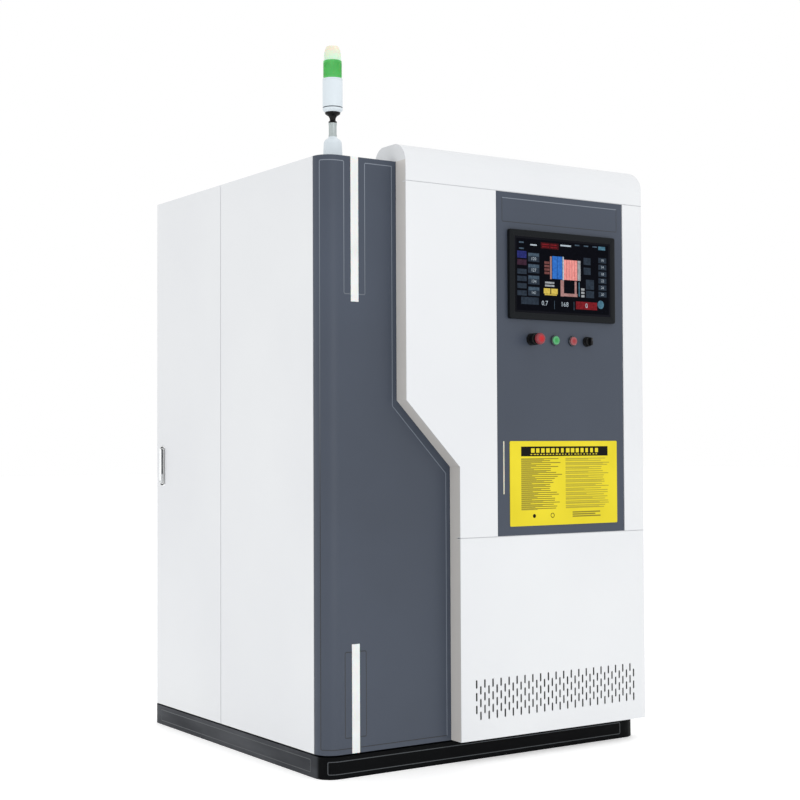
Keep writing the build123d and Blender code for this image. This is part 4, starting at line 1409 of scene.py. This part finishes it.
bead_height_light = powder_coat("bead_height_light", BEAD_DARK, BEAD_LIGHT, 0.30, 0.40)
bead_light = bead_height_light.range(bead_height_light.along("Z"), 0.0, 1.0, start=0.7, end=1.7)
bead_height_light.tint(bead_light, BEAD_DARK, BEAD_LIGHT, start=0.0, end=1.0)
bead_shade = powder_coat("bead_shade", "#1e242b", "#272d35", 0.40, 0.50)
# Painted highlight for the bead along the cover's step, which lies in soft shade.
bead_step_highlight = powder_coat("bead_step_highlight", "#626a76", "#6c7480", 0.30, 0.40)


def bead(name, spots, finish=bead_height_light, corner=0.004, closed=False):
    """One bead along a path of places."""
    beads.grow(
        name, path_mesh(spots, closed=closed), finish, "cabinet", "grey_paint",
        bead_width=BEAD_WIDTH, corner_radius=corner,
    )


def corner_plan(low, first, last, depth):
    """Places round a front-left corner between two angles from the left side."""
    centre_x, centre_y = low.x + CORNER_RADIUS, low.y + CORNER_RADIUS
    radius = CORNER_RADIUS - depth
    plan = []
    for degrees in range(first, last + 1, 10):
        angle = math.radians(degrees)
        plan.append((centre_x - radius * math.cos(angle), centre_y - radius * math.sin(angle)))
    return plan


print("a bead lies deep, metres:", BEAD_DEPTH)

# %% [markdown]
# ## Beads on the slate corner
#
# One long bead runs inside the edges of the slate sheet: round the corner, along the top and the
# foot, and down beside the cover with its step. It stops at the light strips, and a small frame of
# its own runs on either side of the lower strip. Each stretch is a path of a few named places.

# %% Grow the beads on the corner
STRIP_WIDTH = 0.026
STRIP_MARGIN = 0.022
UPPER_STRIP = 0.413
LOWER_STRIP = 0.305
STEP_LOW = 0.847
STEP_HIGH = 1.043
STEP_RUN = 0.187

corner_low, corner_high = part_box("corner_panel")
cover_low, cover_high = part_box("cover_left")
strip_low, strip_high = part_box("light_strips")
strip_mid = (strip_low.x + strip_high.x) / 2
strip_left = strip_mid - STRIP_WIDTH / 2
strip_right = strip_mid + STRIP_WIDTH / 2
near_left = strip_left - STRIP_MARGIN
near_right = strip_right + STRIP_MARGIN
upper_end = strip_high.z - UPPER_STRIP + STRIP_MARGIN
bead_y = corner_low.y + BEAD_DEPTH
bead_low = corner_low.z + BEAD_INSET
bead_high = corner_high.z - BEAD_INSET
upper_x = cover_low.x - BEAD_INSET
lower_x = upper_x + STEP_RUN
round_plan = corner_plan(corner_low, 27, 90, BEAD_DEPTH)
bead("corner_bead", [
    (strip_left, bead_y, upper_end), (near_left, bead_y, upper_end), (near_left, bead_y, bead_high),
    *[(x, y, bead_high) for x, y in reversed(round_plan)],
    *[(x, y, bead_low) for x, y in round_plan],
    (strip_left, bead_y, bead_low),
])

bead("step_bead", [
    (strip_right, bead_y, upper_end), (near_right, bead_y, upper_end),
    (near_right, bead_y, bead_high), (upper_x, bead_y, bead_high),
])
# The bead beside the cover's step is a painted highlight all the way.
bead("cover_bead", [
    (upper_x, bead_y, bead_high), (upper_x, bead_y, STEP_HIGH),
    (lower_x, bead_y, STEP_LOW), (lower_x, bead_y, bead_low),
], finish=bead_step_highlight, corner=0.006)
bead("foot_bead", [(lower_x, bead_y, bead_low), (strip_right, bead_y, bead_low)])

mark_low = strip_low.z + 2 * STRIP_MARGIN
mark_high = strip_low.z + LOWER_STRIP - STRIP_MARGIN
for name, start_x, turn_x in (
    ("strip_bead_left", strip_left, near_left), ("strip_bead_right", strip_right, near_right),
):
    bead(name, [
        (start_x, bead_y, mark_low), (turn_x, bead_y, mark_low),
        (turn_x, bead_y, mark_high), (start_x, bead_y, mark_high),
    ])

# %% [markdown]
# ## The blank field above the screen
#
# Above the screen a bead runs round a blank field. Its upper edge catches the light and the other
# three don't, so it is two pieces with two finishes.

# %% Grow the field's beads
panel_low, panel_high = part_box("control_panel")
FIELD_SIDE = 0.022
FIELD_TOP = 0.018
field_y = PANEL_FACE + BEAD_DEPTH
field_left, field_right = panel_low.x + FIELD_SIDE, panel_high.x - FIELD_SIDE
field_high, field_low = panel_high.z - FIELD_TOP, case_high.z + FIELD_SIDE
bead("field_bead_top", [
    (field_left, field_y, field_high), (field_right, field_y, field_high),
])
bead("field_bead_sides", [
    (field_left, field_y, field_high), (field_left, field_y, field_low),
    (field_right, field_y, field_low), (field_right, field_y, field_high),
], finish=bead_shade)

# %% [markdown]
# ## Lines rolled in the plinth
#
# Each face of the plinth carries a long rectangle, rolled in before the channel was folded. It is
# the same kind of bead, so the same tree sweeps it along the front and along the door's side. Its
# grey on the black plinth is a painted highlight.

# %% Grow the plinth's lines
# Painted highlight: the rolled line is grey on the black plinth.
plinth_rolled_highlight = powder_coat("plinth_rolled_highlight", "#2c3033", "#3b4044", 0.40, 0.50)
PLINTH_LINE_LOW = 0.014
PLINTH_LINE_HIGH = 0.049
PLINTH_END = 0.075
line_x = plinth_low.x + BEAD_DEPTH
line_y = plinth_low.y + BEAD_DEPTH
front_plan = corner_plan(plinth_low, 50, 90, BEAD_DEPTH)
front_plan.append((plinth_high.x - PLINTH_END, line_y))
side_plan = [(line_x, plinth_low.y + PLINTH_END), (line_x, plinth_high.y - PLINTH_END)]
for name, plan in (("plinth_front_line", front_plan), ("plinth_side_line", side_plan)):
    spots = [(x, y, PLINTH_LINE_HIGH) for x, y in plan]
    spots += [(x, y, PLINTH_LINE_LOW) for x, y in reversed(plan)]
    bead(name, spots, plinth_rolled_highlight, closed=True)

# %% [markdown]
# ## The door's seal
#
# Round the inside of the door runs a soft foam seal that keeps warm air and noise in. It is only
# seen when the door is open, and it turns with the door. The bead tree sweeps it too.

# %% Grow the door seal
seal_rubber = moulded("seal_rubber", "#1b1c1d", 0.75, grain_mm=0.05)
SEAL_WIDTH = 0.010
SEAL_SUNK = 0.001
SEAL_CORNER = 0.02
SEAL_INSET = 0.032
SEAL_SIDE_INSET = SEAL_INSET + 0.030
SHEET = 0.002
seal_x = door_low.x + SHEET + SEAL_WIDTH / 2 - SEAL_SUNK
near_y, far_y = door_low.y + SEAL_SIDE_INSET, door_high.y - SEAL_SIDE_INSET
foot_z, head_z = door_low.z + SEAL_INSET, door_high.z - SEAL_INSET
seal_spots = [
    (seal_x, near_y, foot_z), (seal_x, far_y, foot_z), (seal_x, far_y, head_z),
    (seal_x, near_y, head_z),
]
beads.grow(
    "door_seal", path_mesh(seal_spots, closed=True), seal_rubber, "side_door", "black_plastic",
    bead_width=SEAL_WIDTH, corner_radius=SEAL_CORNER,
)

# %% [markdown]
# ## Gaskets in the seams
#
# The hood and the covers are separate sheets. A round rubber cord is pressed into each seam from
# behind, so that no warm air blows out, and the bead tree sweeps it as well. It lies just under the
# skin, and its pale grey is painted light: it turns a black gap into a soft grey line.

# %% Grow the gaskets
# Painted light: the cords' pale grey stands in for light falling into the seams.
gasket_painted_light = moulded("gasket_painted_light", "#c3c5c8", 0.6, grain_mm=0.03, reflection=0.2)
COVER_RADIUS = 0.022
CORD_SHY = 0.0001
wrap_low, wrap_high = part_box("cover_right")
lower_low, lower_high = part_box("cover_lower")


def seam_cord(name, start_x, below, above, sunk):
    """A cord in a level seam of the front cover, round its right corner. Sunk is its depth."""
    width = above - below - 2 * CORD_SHY
    depth = sunk + width / 2
    level = (above + below) / 2
    turn_x = wrap_high.x - depth
    spots = [
        (start_x + sunk, cover_low.y + depth, level), (turn_x, cover_low.y + depth, level),
        (turn_x, wrap_high.y - sunk, level),
    ]
    beads.grow(
        name, path_mesh(spots), gasket_painted_light, "cabinet", "edge_paint", bead_width=width,
        corner_radius=COVER_RADIUS - depth,
    )


seam_cord("hood_gasket", cover_low.x, cover_high.z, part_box("hood")[0].z, sunk=0.0003)
seam_cord("lower_gasket", lower_low.x, lower_high.z, wrap_low.z, sunk=0.0006)

# %% [markdown]
# ## The lip beside the door
#
# The gap beside the door has to open, so no cord is pressed into it. A flat rubber lip lies behind
# it instead, and its pale grey is painted light in the gap. It is long, straight and only a little
# rounded, which makes it a loft of two rings.

# %% Loft the lip beside the door
LIP_WIDTH = 6.2
LIP_CORNER = 0.8
LIP_BACK = -2.2
LIP_FACE = -0.3
lip_height = (door_high.z - door_low.z) / MM
# Painted light: the lip's pale grey stands in for light falling into the door's gap.
lip_painted_light = moulded("lip_painted_light", "#d3d5d8", 0.6, grain_mm=0.03, reflection=0.2)
lip_form = loft([(LIP_WIDTH, lip_height, LIP_CORNER, depth) for depth in (LIP_BACK, LIP_FACE)])
lip_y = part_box("left_front_panel")[1].y + LIP_WIDTH * MM / 2
lip_place = facing(door_low.x, lip_y, (door_low.z + door_high.z) / 2, TO_LEFT)
settle("side_lip", lip_form, lip_place, lip_painted_light, "cabinet")

# %% [markdown]
# ## The black mat behind the air inlet
#
# Behind the slots in the lower cover hangs a block of black foam. It is painted shade: it stands in
# for the shade inside the slots, and makes them look black and not grey. One padded block is enough
# for it.

# %% Hang the black mat behind the slots
# Painted shade: a black mat where the slots would only lie in shade.
shade_foam = moulded("shade_foam", "#0b0b0c", 0.9, grain_mm=0.4, reflection=0.05)
SHADE_MAT_SIDE = 0.046
SHADE_MAT_FOOT = 0.045
SHADE_MAT_HEIGHT = 0.145
SHADE_MAT_CORNER = 4
SHADE_MAT_FACE = -2.4
SHADE_MAT_BACK = -6.4
shade_mat_width = lower_high.x - lower_low.x - 2 * SHADE_MAT_SIDE
shade_mat_form = loft([
    (shade_mat_width / MM, SHADE_MAT_HEIGHT / MM, SHADE_MAT_CORNER, depth)
    for depth in (SHADE_MAT_BACK, SHADE_MAT_FACE)
])
shade_mat_z = lower_low.z + SHADE_MAT_FOOT + SHADE_MAT_HEIGHT / 2
shade_mat_place = facing((lower_low.x + lower_high.x) / 2, lower_low.y, shade_mat_z)
settle("inlet_filter", shade_mat_form, shade_mat_place, shade_foam, "cabinet")

# %% [markdown]
# ## Ribs round a turned piece
#
# The green lens has fine upright ribs that spread the light, the stop collar has a grip of short
# ribs, and the burner's drum has a ring of intake slats. All three are the same thing: a box
# copied round a circle and turned to face outwards.

# %% Grow the ribs
ribs = Grower(
    "ring_of_ribs", count="Int", ring_radius="Float", rib_width="Float", rib_depth="Float",
    rib_height="Float",
)
ring_points = ribs.add("GeometryNodeMeshCircle", {
    "Vertices": ribs.inputs["Count"], "Radius": ribs.inputs["Ring Radius"],
})
rib_size = ribs.vector(
    ribs.inputs["Rib Depth"], ribs.inputs["Rib Width"], ribs.inputs["Rib Height"]
)
rib_shape = ribs.add("GeometryNodeMeshCube", {"Size": rib_size}).outputs[0]
outwards = ribs.add("GeometryNodeInputPosition", {}).outputs[0]
rib_turn = ribs.add(
    "FunctionNodeAlignRotationToVector", {"Vector": outwards}, axis="X", pivot_axis="Z"
).outputs[0]
ribs.end(ribs.add("GeometryNodeInstanceOnPoints", {
    "Points": ring_points.outputs[0], "Instance": rib_shape, "Rotation": rib_turn,
}).outputs[0])

GRIP_UP = 0.018
INTAKE_DOWN = 0.075
lens_place = Matrix.Translation(middle_of("signal_light_lens"))
ribs.grow(
    "beacon_lens_ribs", one_point(), lens_green, "cabinet", "lens_green", lens_place, count=60,
    ring_radius=0.0262, rib_width=0.0011, rib_depth=0.0012, rib_height=0.040,
)
grip_place = on_panel("emergency_stop_collar") @ Matrix.Translation((0, 0, GRIP_UP))
ribs.grow(
    "stop_collar_grip", one_point(), black_plastic, "cabinet", "black_plastic", grip_place,
    count=36, ring_radius=0.0175, rib_width=0.0012, rib_depth=0.0010, rib_height=0.014,
)
burner_low, burner_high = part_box("burner")
burner_mid = middle_of("burner")
intake_place = Matrix.Translation((burner_mid.x, burner_mid.y, burner_high.z - INTAKE_DOWN))
ribs.grow(
    "burner_intake", one_point(), frame_paint, "cabinet", "burner_paint", intake_place, count=72,
    ring_radius=(burner_high.x - burner_low.x) / 2, rib_width=0.004, rib_depth=0.006,
    rib_height=0.07,
)

# %% [markdown]
# ## The heads of screws and rivets
#
# All that shows of a screw is its head. One head of each kind is turned, one metre wide and high,
# and is then scaled to every size that is needed. It has few faces, because it is copied often.

# %% Turn the patterns of the heads
HEAD_SIDES = 12


def head_pattern(name, profile):
    """A head one metre across and high, that the tree scales to size."""
    form = turn_profile([(radius / MM, height / MM) for radius, height in profile], HEAD_SIDES)
    bmesh.ops.recalc_face_normals(form, faces=form.faces)
    mesh = bpy.data.meshes.new(name)
    form.to_mesh(mesh)
    form.free()
    pattern = bpy.data.objects.new(name, mesh)
    bpy.context.scene.collection.objects.link(pattern)
    print(name, "faces:", len(mesh.polygons))
    return pattern


socket_head = head_pattern("socket_head", [
    (0, 0), (0.5, 0), (0.5, 0.45), (0.38, 0.9), (0.24, 1.0), (0.22, 0.4), (0, 0.35),
])
rivet_head = head_pattern("rivet_head", [
    (0, 0), (0.5, 0), (0.47, 0.4), (0.32, 0.8), (0, 1.0),
])

# %% [markdown]
# ## A tree for fasteners
#
# The tree copies a head to a list of points, turns each copy to face out of its sheet, and spins it
# by a seeded random angle, because no fitter leaves all the sockets in line. The direction that a
# head faces is kept on its point, as an attribute that the tree reads.

# %% A tree for fasteners
fasteners = Grower(
    "fasteners", head="Object", head_diameter="Float", head_height="Float", seed="Int",
)
head_mesh = fasteners.add(
    "GeometryNodeObjectInfo", {"Object": fasteners.inputs["Head"]}
).outputs["Geometry"]
facing_out = fasteners.add(
    "GeometryNodeInputNamedAttribute", {"Name": "facing"}, data_type="FLOAT_VECTOR"
).outputs[0]
outward_turn = fasteners.add(
    "FunctionNodeAlignRotationToVector", {"Vector": facing_out}, axis="Z"
).outputs[0]
spin_turn = fasteners.add("FunctionNodeAxisAngleToRotation", {
    "Axis": (0.0, 0.0, 1.0), "Angle": fasteners.random(0.0, 2 * math.pi),
}).outputs[0]
both_turns = fasteners.add(
    "FunctionNodeRotateRotation", {"Rotation": outward_turn, "Rotate By": spin_turn},
    rotation_space="LOCAL",
).outputs[0]
head_size = fasteners.vector(
    fasteners.inputs["Head Diameter"], fasteners.inputs["Head Diameter"],
    fasteners.inputs["Head Height"],
)
fasteners.end(fasteners.add("GeometryNodeInstanceOnPoints", {
    "Points": fasteners.inputs["Geometry"], "Instance": head_mesh, "Rotation": both_turns,
    "Scale": head_size,
}).outputs[0])


def fasten(name, spots, slot, head, diameter, height, seed):
    """Puts a steel head on every spot. A spot is a place and the direction that it faces."""
    mesh = path_mesh([place for place, direction in spots], joined=False)
    attribute = mesh.attributes.new("facing", "FLOAT_VECTOR", "POINT")
    for index, (place, direction) in enumerate(spots):
        attribute.data[index].vector = direction
    fasteners.grow(
        name, mesh, fastener_steel, "cabinet", slot,
        head=head, head_diameter=diameter, head_height=height, seed=seed,
    )


def spread(low, high, count):
    """Even places from low to high."""
    return [low + (high - low) * index / (count - 1) for index in range(count)]


print("fastener tree nodes:", len(fasteners.tree.nodes))

# %% [markdown]
# ## Screws in the back and the roof
#
# The back panel and the roof are screwed to the frame along their edges, with one kind of screw. On
# a real sheet the pitch is even and the corners are kept free, so the places come from a spread
# between two ends.

# %% Screw down the back and the roof
SCREW = {"head": socket_head, "diameter": 0.010, "height": 0.0035}
TO_BACK = (0.0, 1.0, 0.0)
UP = (0.0, 0.0, 1.0)
EDGE_INSET = 0.016
BACK_END = 0.06
BACK_SIDE_END = 0.18
ROOF_SIDE = 0.5225
ROOF_FRONT_END = 0.06
ROOF_BACK_END = 0.05
ROOF_BACK_INSET = 0.02
ROOF_SPAN = 0.34

back_low, back_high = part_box("back_panel")
back_spots = []
for x in (back_low.x + EDGE_INSET, back_high.x - EDGE_INSET):
    for z in spread(back_low.z + BACK_END, back_high.z - BACK_END, 7):
        back_spots.append(((x, back_high.y, z), TO_BACK))
for z in (back_low.z + EDGE_INSET, back_high.z - EDGE_INSET):
    for x in spread(back_low.x + BACK_SIDE_END, back_high.x - BACK_SIDE_END, 4):
        back_spots.append(((x, back_high.y, z), TO_BACK))
fasten("back_screws", back_spots, "white_paint", seed=1, **SCREW)

roof_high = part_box("roof_panel")[1]
hood_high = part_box("hood")[1]
roof_spots = []
for x in (-ROOF_SIDE, ROOF_SIDE):
    for y in spread(hood_high.y + ROOF_FRONT_END, roof_high.y - ROOF_BACK_END, 4):
        roof_spots.append(((x, y, roof_high.z), UP))
for x in spread(-ROOF_SPAN, ROOF_SPAN, 3):
    roof_spots.append(((x, roof_high.y - ROOF_BACK_INSET, roof_high.z), UP))
fasten("roof_screws", roof_spots, "white_paint", seed=2, **SCREW)

# %% [markdown]
# ## Screws and rivets in a ring
#
# Round the flue a rosette is held by eight small screws, and the vessel's jacket is closed by three
# bands of rivets. Their places lie on a circle, so an angle gives both the place and, on the
# vessel, the direction that a rivet faces.

# %% Fasten the rosette and the jacket's bands
ROSETTE_SCREWS = 8
ROSETTE_RADIUS = 0.1135
ROSETTE_THICK = 0.002
BANDS = 3
BAND_RIVETS = 36
SKIRT_HEIGHT = 0.100

flue_mid = middle_of("flue_outlet")
rosette_spots = []
for step in range(ROSETTE_SCREWS):
    angle = 2 * math.pi * (step + 0.5) / ROSETTE_SCREWS
    place = (
        flue_mid.x + ROSETTE_RADIUS * math.cos(angle), back_high.y + ROSETTE_THICK,
        flue_mid.z + ROSETTE_RADIUS * math.sin(angle),
    )
    rosette_spots.append((place, TO_BACK))
fasten(
    "rosette_screws", rosette_spots, "flue_steel", socket_head, diameter=0.008, height=0.003,
    seed=3,
)

vessel_low, vessel_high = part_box("vessel")
vessel_mid = middle_of("vessel")
band_radius = (vessel_high.x - vessel_low.x) / 2
shell_low = vessel_low.z + SKIRT_HEIGHT
band_step = (vessel_high.z - shell_low) / (BANDS + 1)
rivet_spots = []
for band in range(BANDS):
    for step in range(BAND_RIVETS):
        angle = 2 * math.pi * step / BAND_RIVETS
        out = Vector((math.cos(angle), math.sin(angle), 0.0))
        place = vessel_mid + out * band_radius
        place.z = shell_low + band_step * (band + 1)
        rivet_spots.append((place, out))
fasten(
    "band_rivets", rivet_spots, "vessel_jacket", rivet_head, diameter=0.009, height=0.003, seed=4
)
for pattern in (socket_head, rivet_head):
    bpy.data.objects.remove(pattern)

# %% [markdown]
# ## The light
#
# The photo is a studio cut-out: a white ground, soft light and hardly a shadow. A white sky lights
# every side, so that no view of the machine is dark. Three large soft lamps do the rest. One stands
# in front and makes the cover bright, one hangs over the hood, and a weak one on the left keeps the
# door's side a shade darker than the front, as in the photo.

# %% Set up the light
LAMP_SIZE = 2.4
WHITE_LIGHT = (1.0, 1.0, 1.0, 1.0)
scene = bpy.context.scene
scene.view_settings.view_transform = "Standard"
world = bpy.data.worlds.new("studio")
world.use_nodes = True
sky = world.node_tree.nodes["Background"]
sky.inputs["Color"].default_value = WHITE_LIGHT
sky.inputs["Strength"].default_value = 1.0
scene.world = world


def soft_lamp(name, place, aim_at, watts):
    """A square soft box that points at a spot on the machine."""
    data = bpy.data.lights.new(name, "AREA")
    data.size = LAMP_SIZE
    data.energy = watts
    lamp = bpy.data.objects.new(name, data)
    scene.collection.objects.link(lamp)
    lamp.location = place
    lamp.rotation_euler = (Vector(aim_at) - Vector(place)).to_track_quat("-Z", "Y").to_euler()


soft_lamp("front_lamp", (-0.9, -4.7, 1.3), (0.0, -0.5, 0.50), watts=18.0)
soft_lamp("left_lamp", (-4.6, -1.0, 2.4), (-0.5, 0.0, 0.9), watts=2.0)
soft_lamp("top_lamp", (0.1, -1.2, 4.6), (0.0, -0.4, 1.8), watts=16.0)

# %% [markdown]
# ## The floor
#
# The floor is a wide pale sheet that glows a little, so that it runs into the white ground without
# an edge.

# %% Lay the floor
FLOOR_HALF = 40.0
FLOOR_GLOW = 0.36
floor_paint = Finish("floor_paint", "#f4f4f4", 0.6)
floor_paint.tint(floor_paint.noise(0.7, detail=3.0), "#f3f3f3", "#f5f5f5")
floor_paint.set("Emission Color", shade("#ffffff"))
floor_paint.set("Emission Strength", FLOOR_GLOW)
floor_mesh = bpy.data.meshes.new("floor")
floor_corners = [(-1, -1), (1, -1), (1, 1), (-1, 1)]
floor_mesh.from_pydata(
    [(x * FLOOR_HALF, y * FLOOR_HALF, 0) for x, y in floor_corners], [], [(0, 1, 2, 3)]
)
floor_mesh.materials.append(floor_paint.material)
floor = bpy.data.objects.new("floor", floor_mesh)
scene.collection.objects.link(floor)
print("floor, metres across:", 2 * FLOOR_HALF)
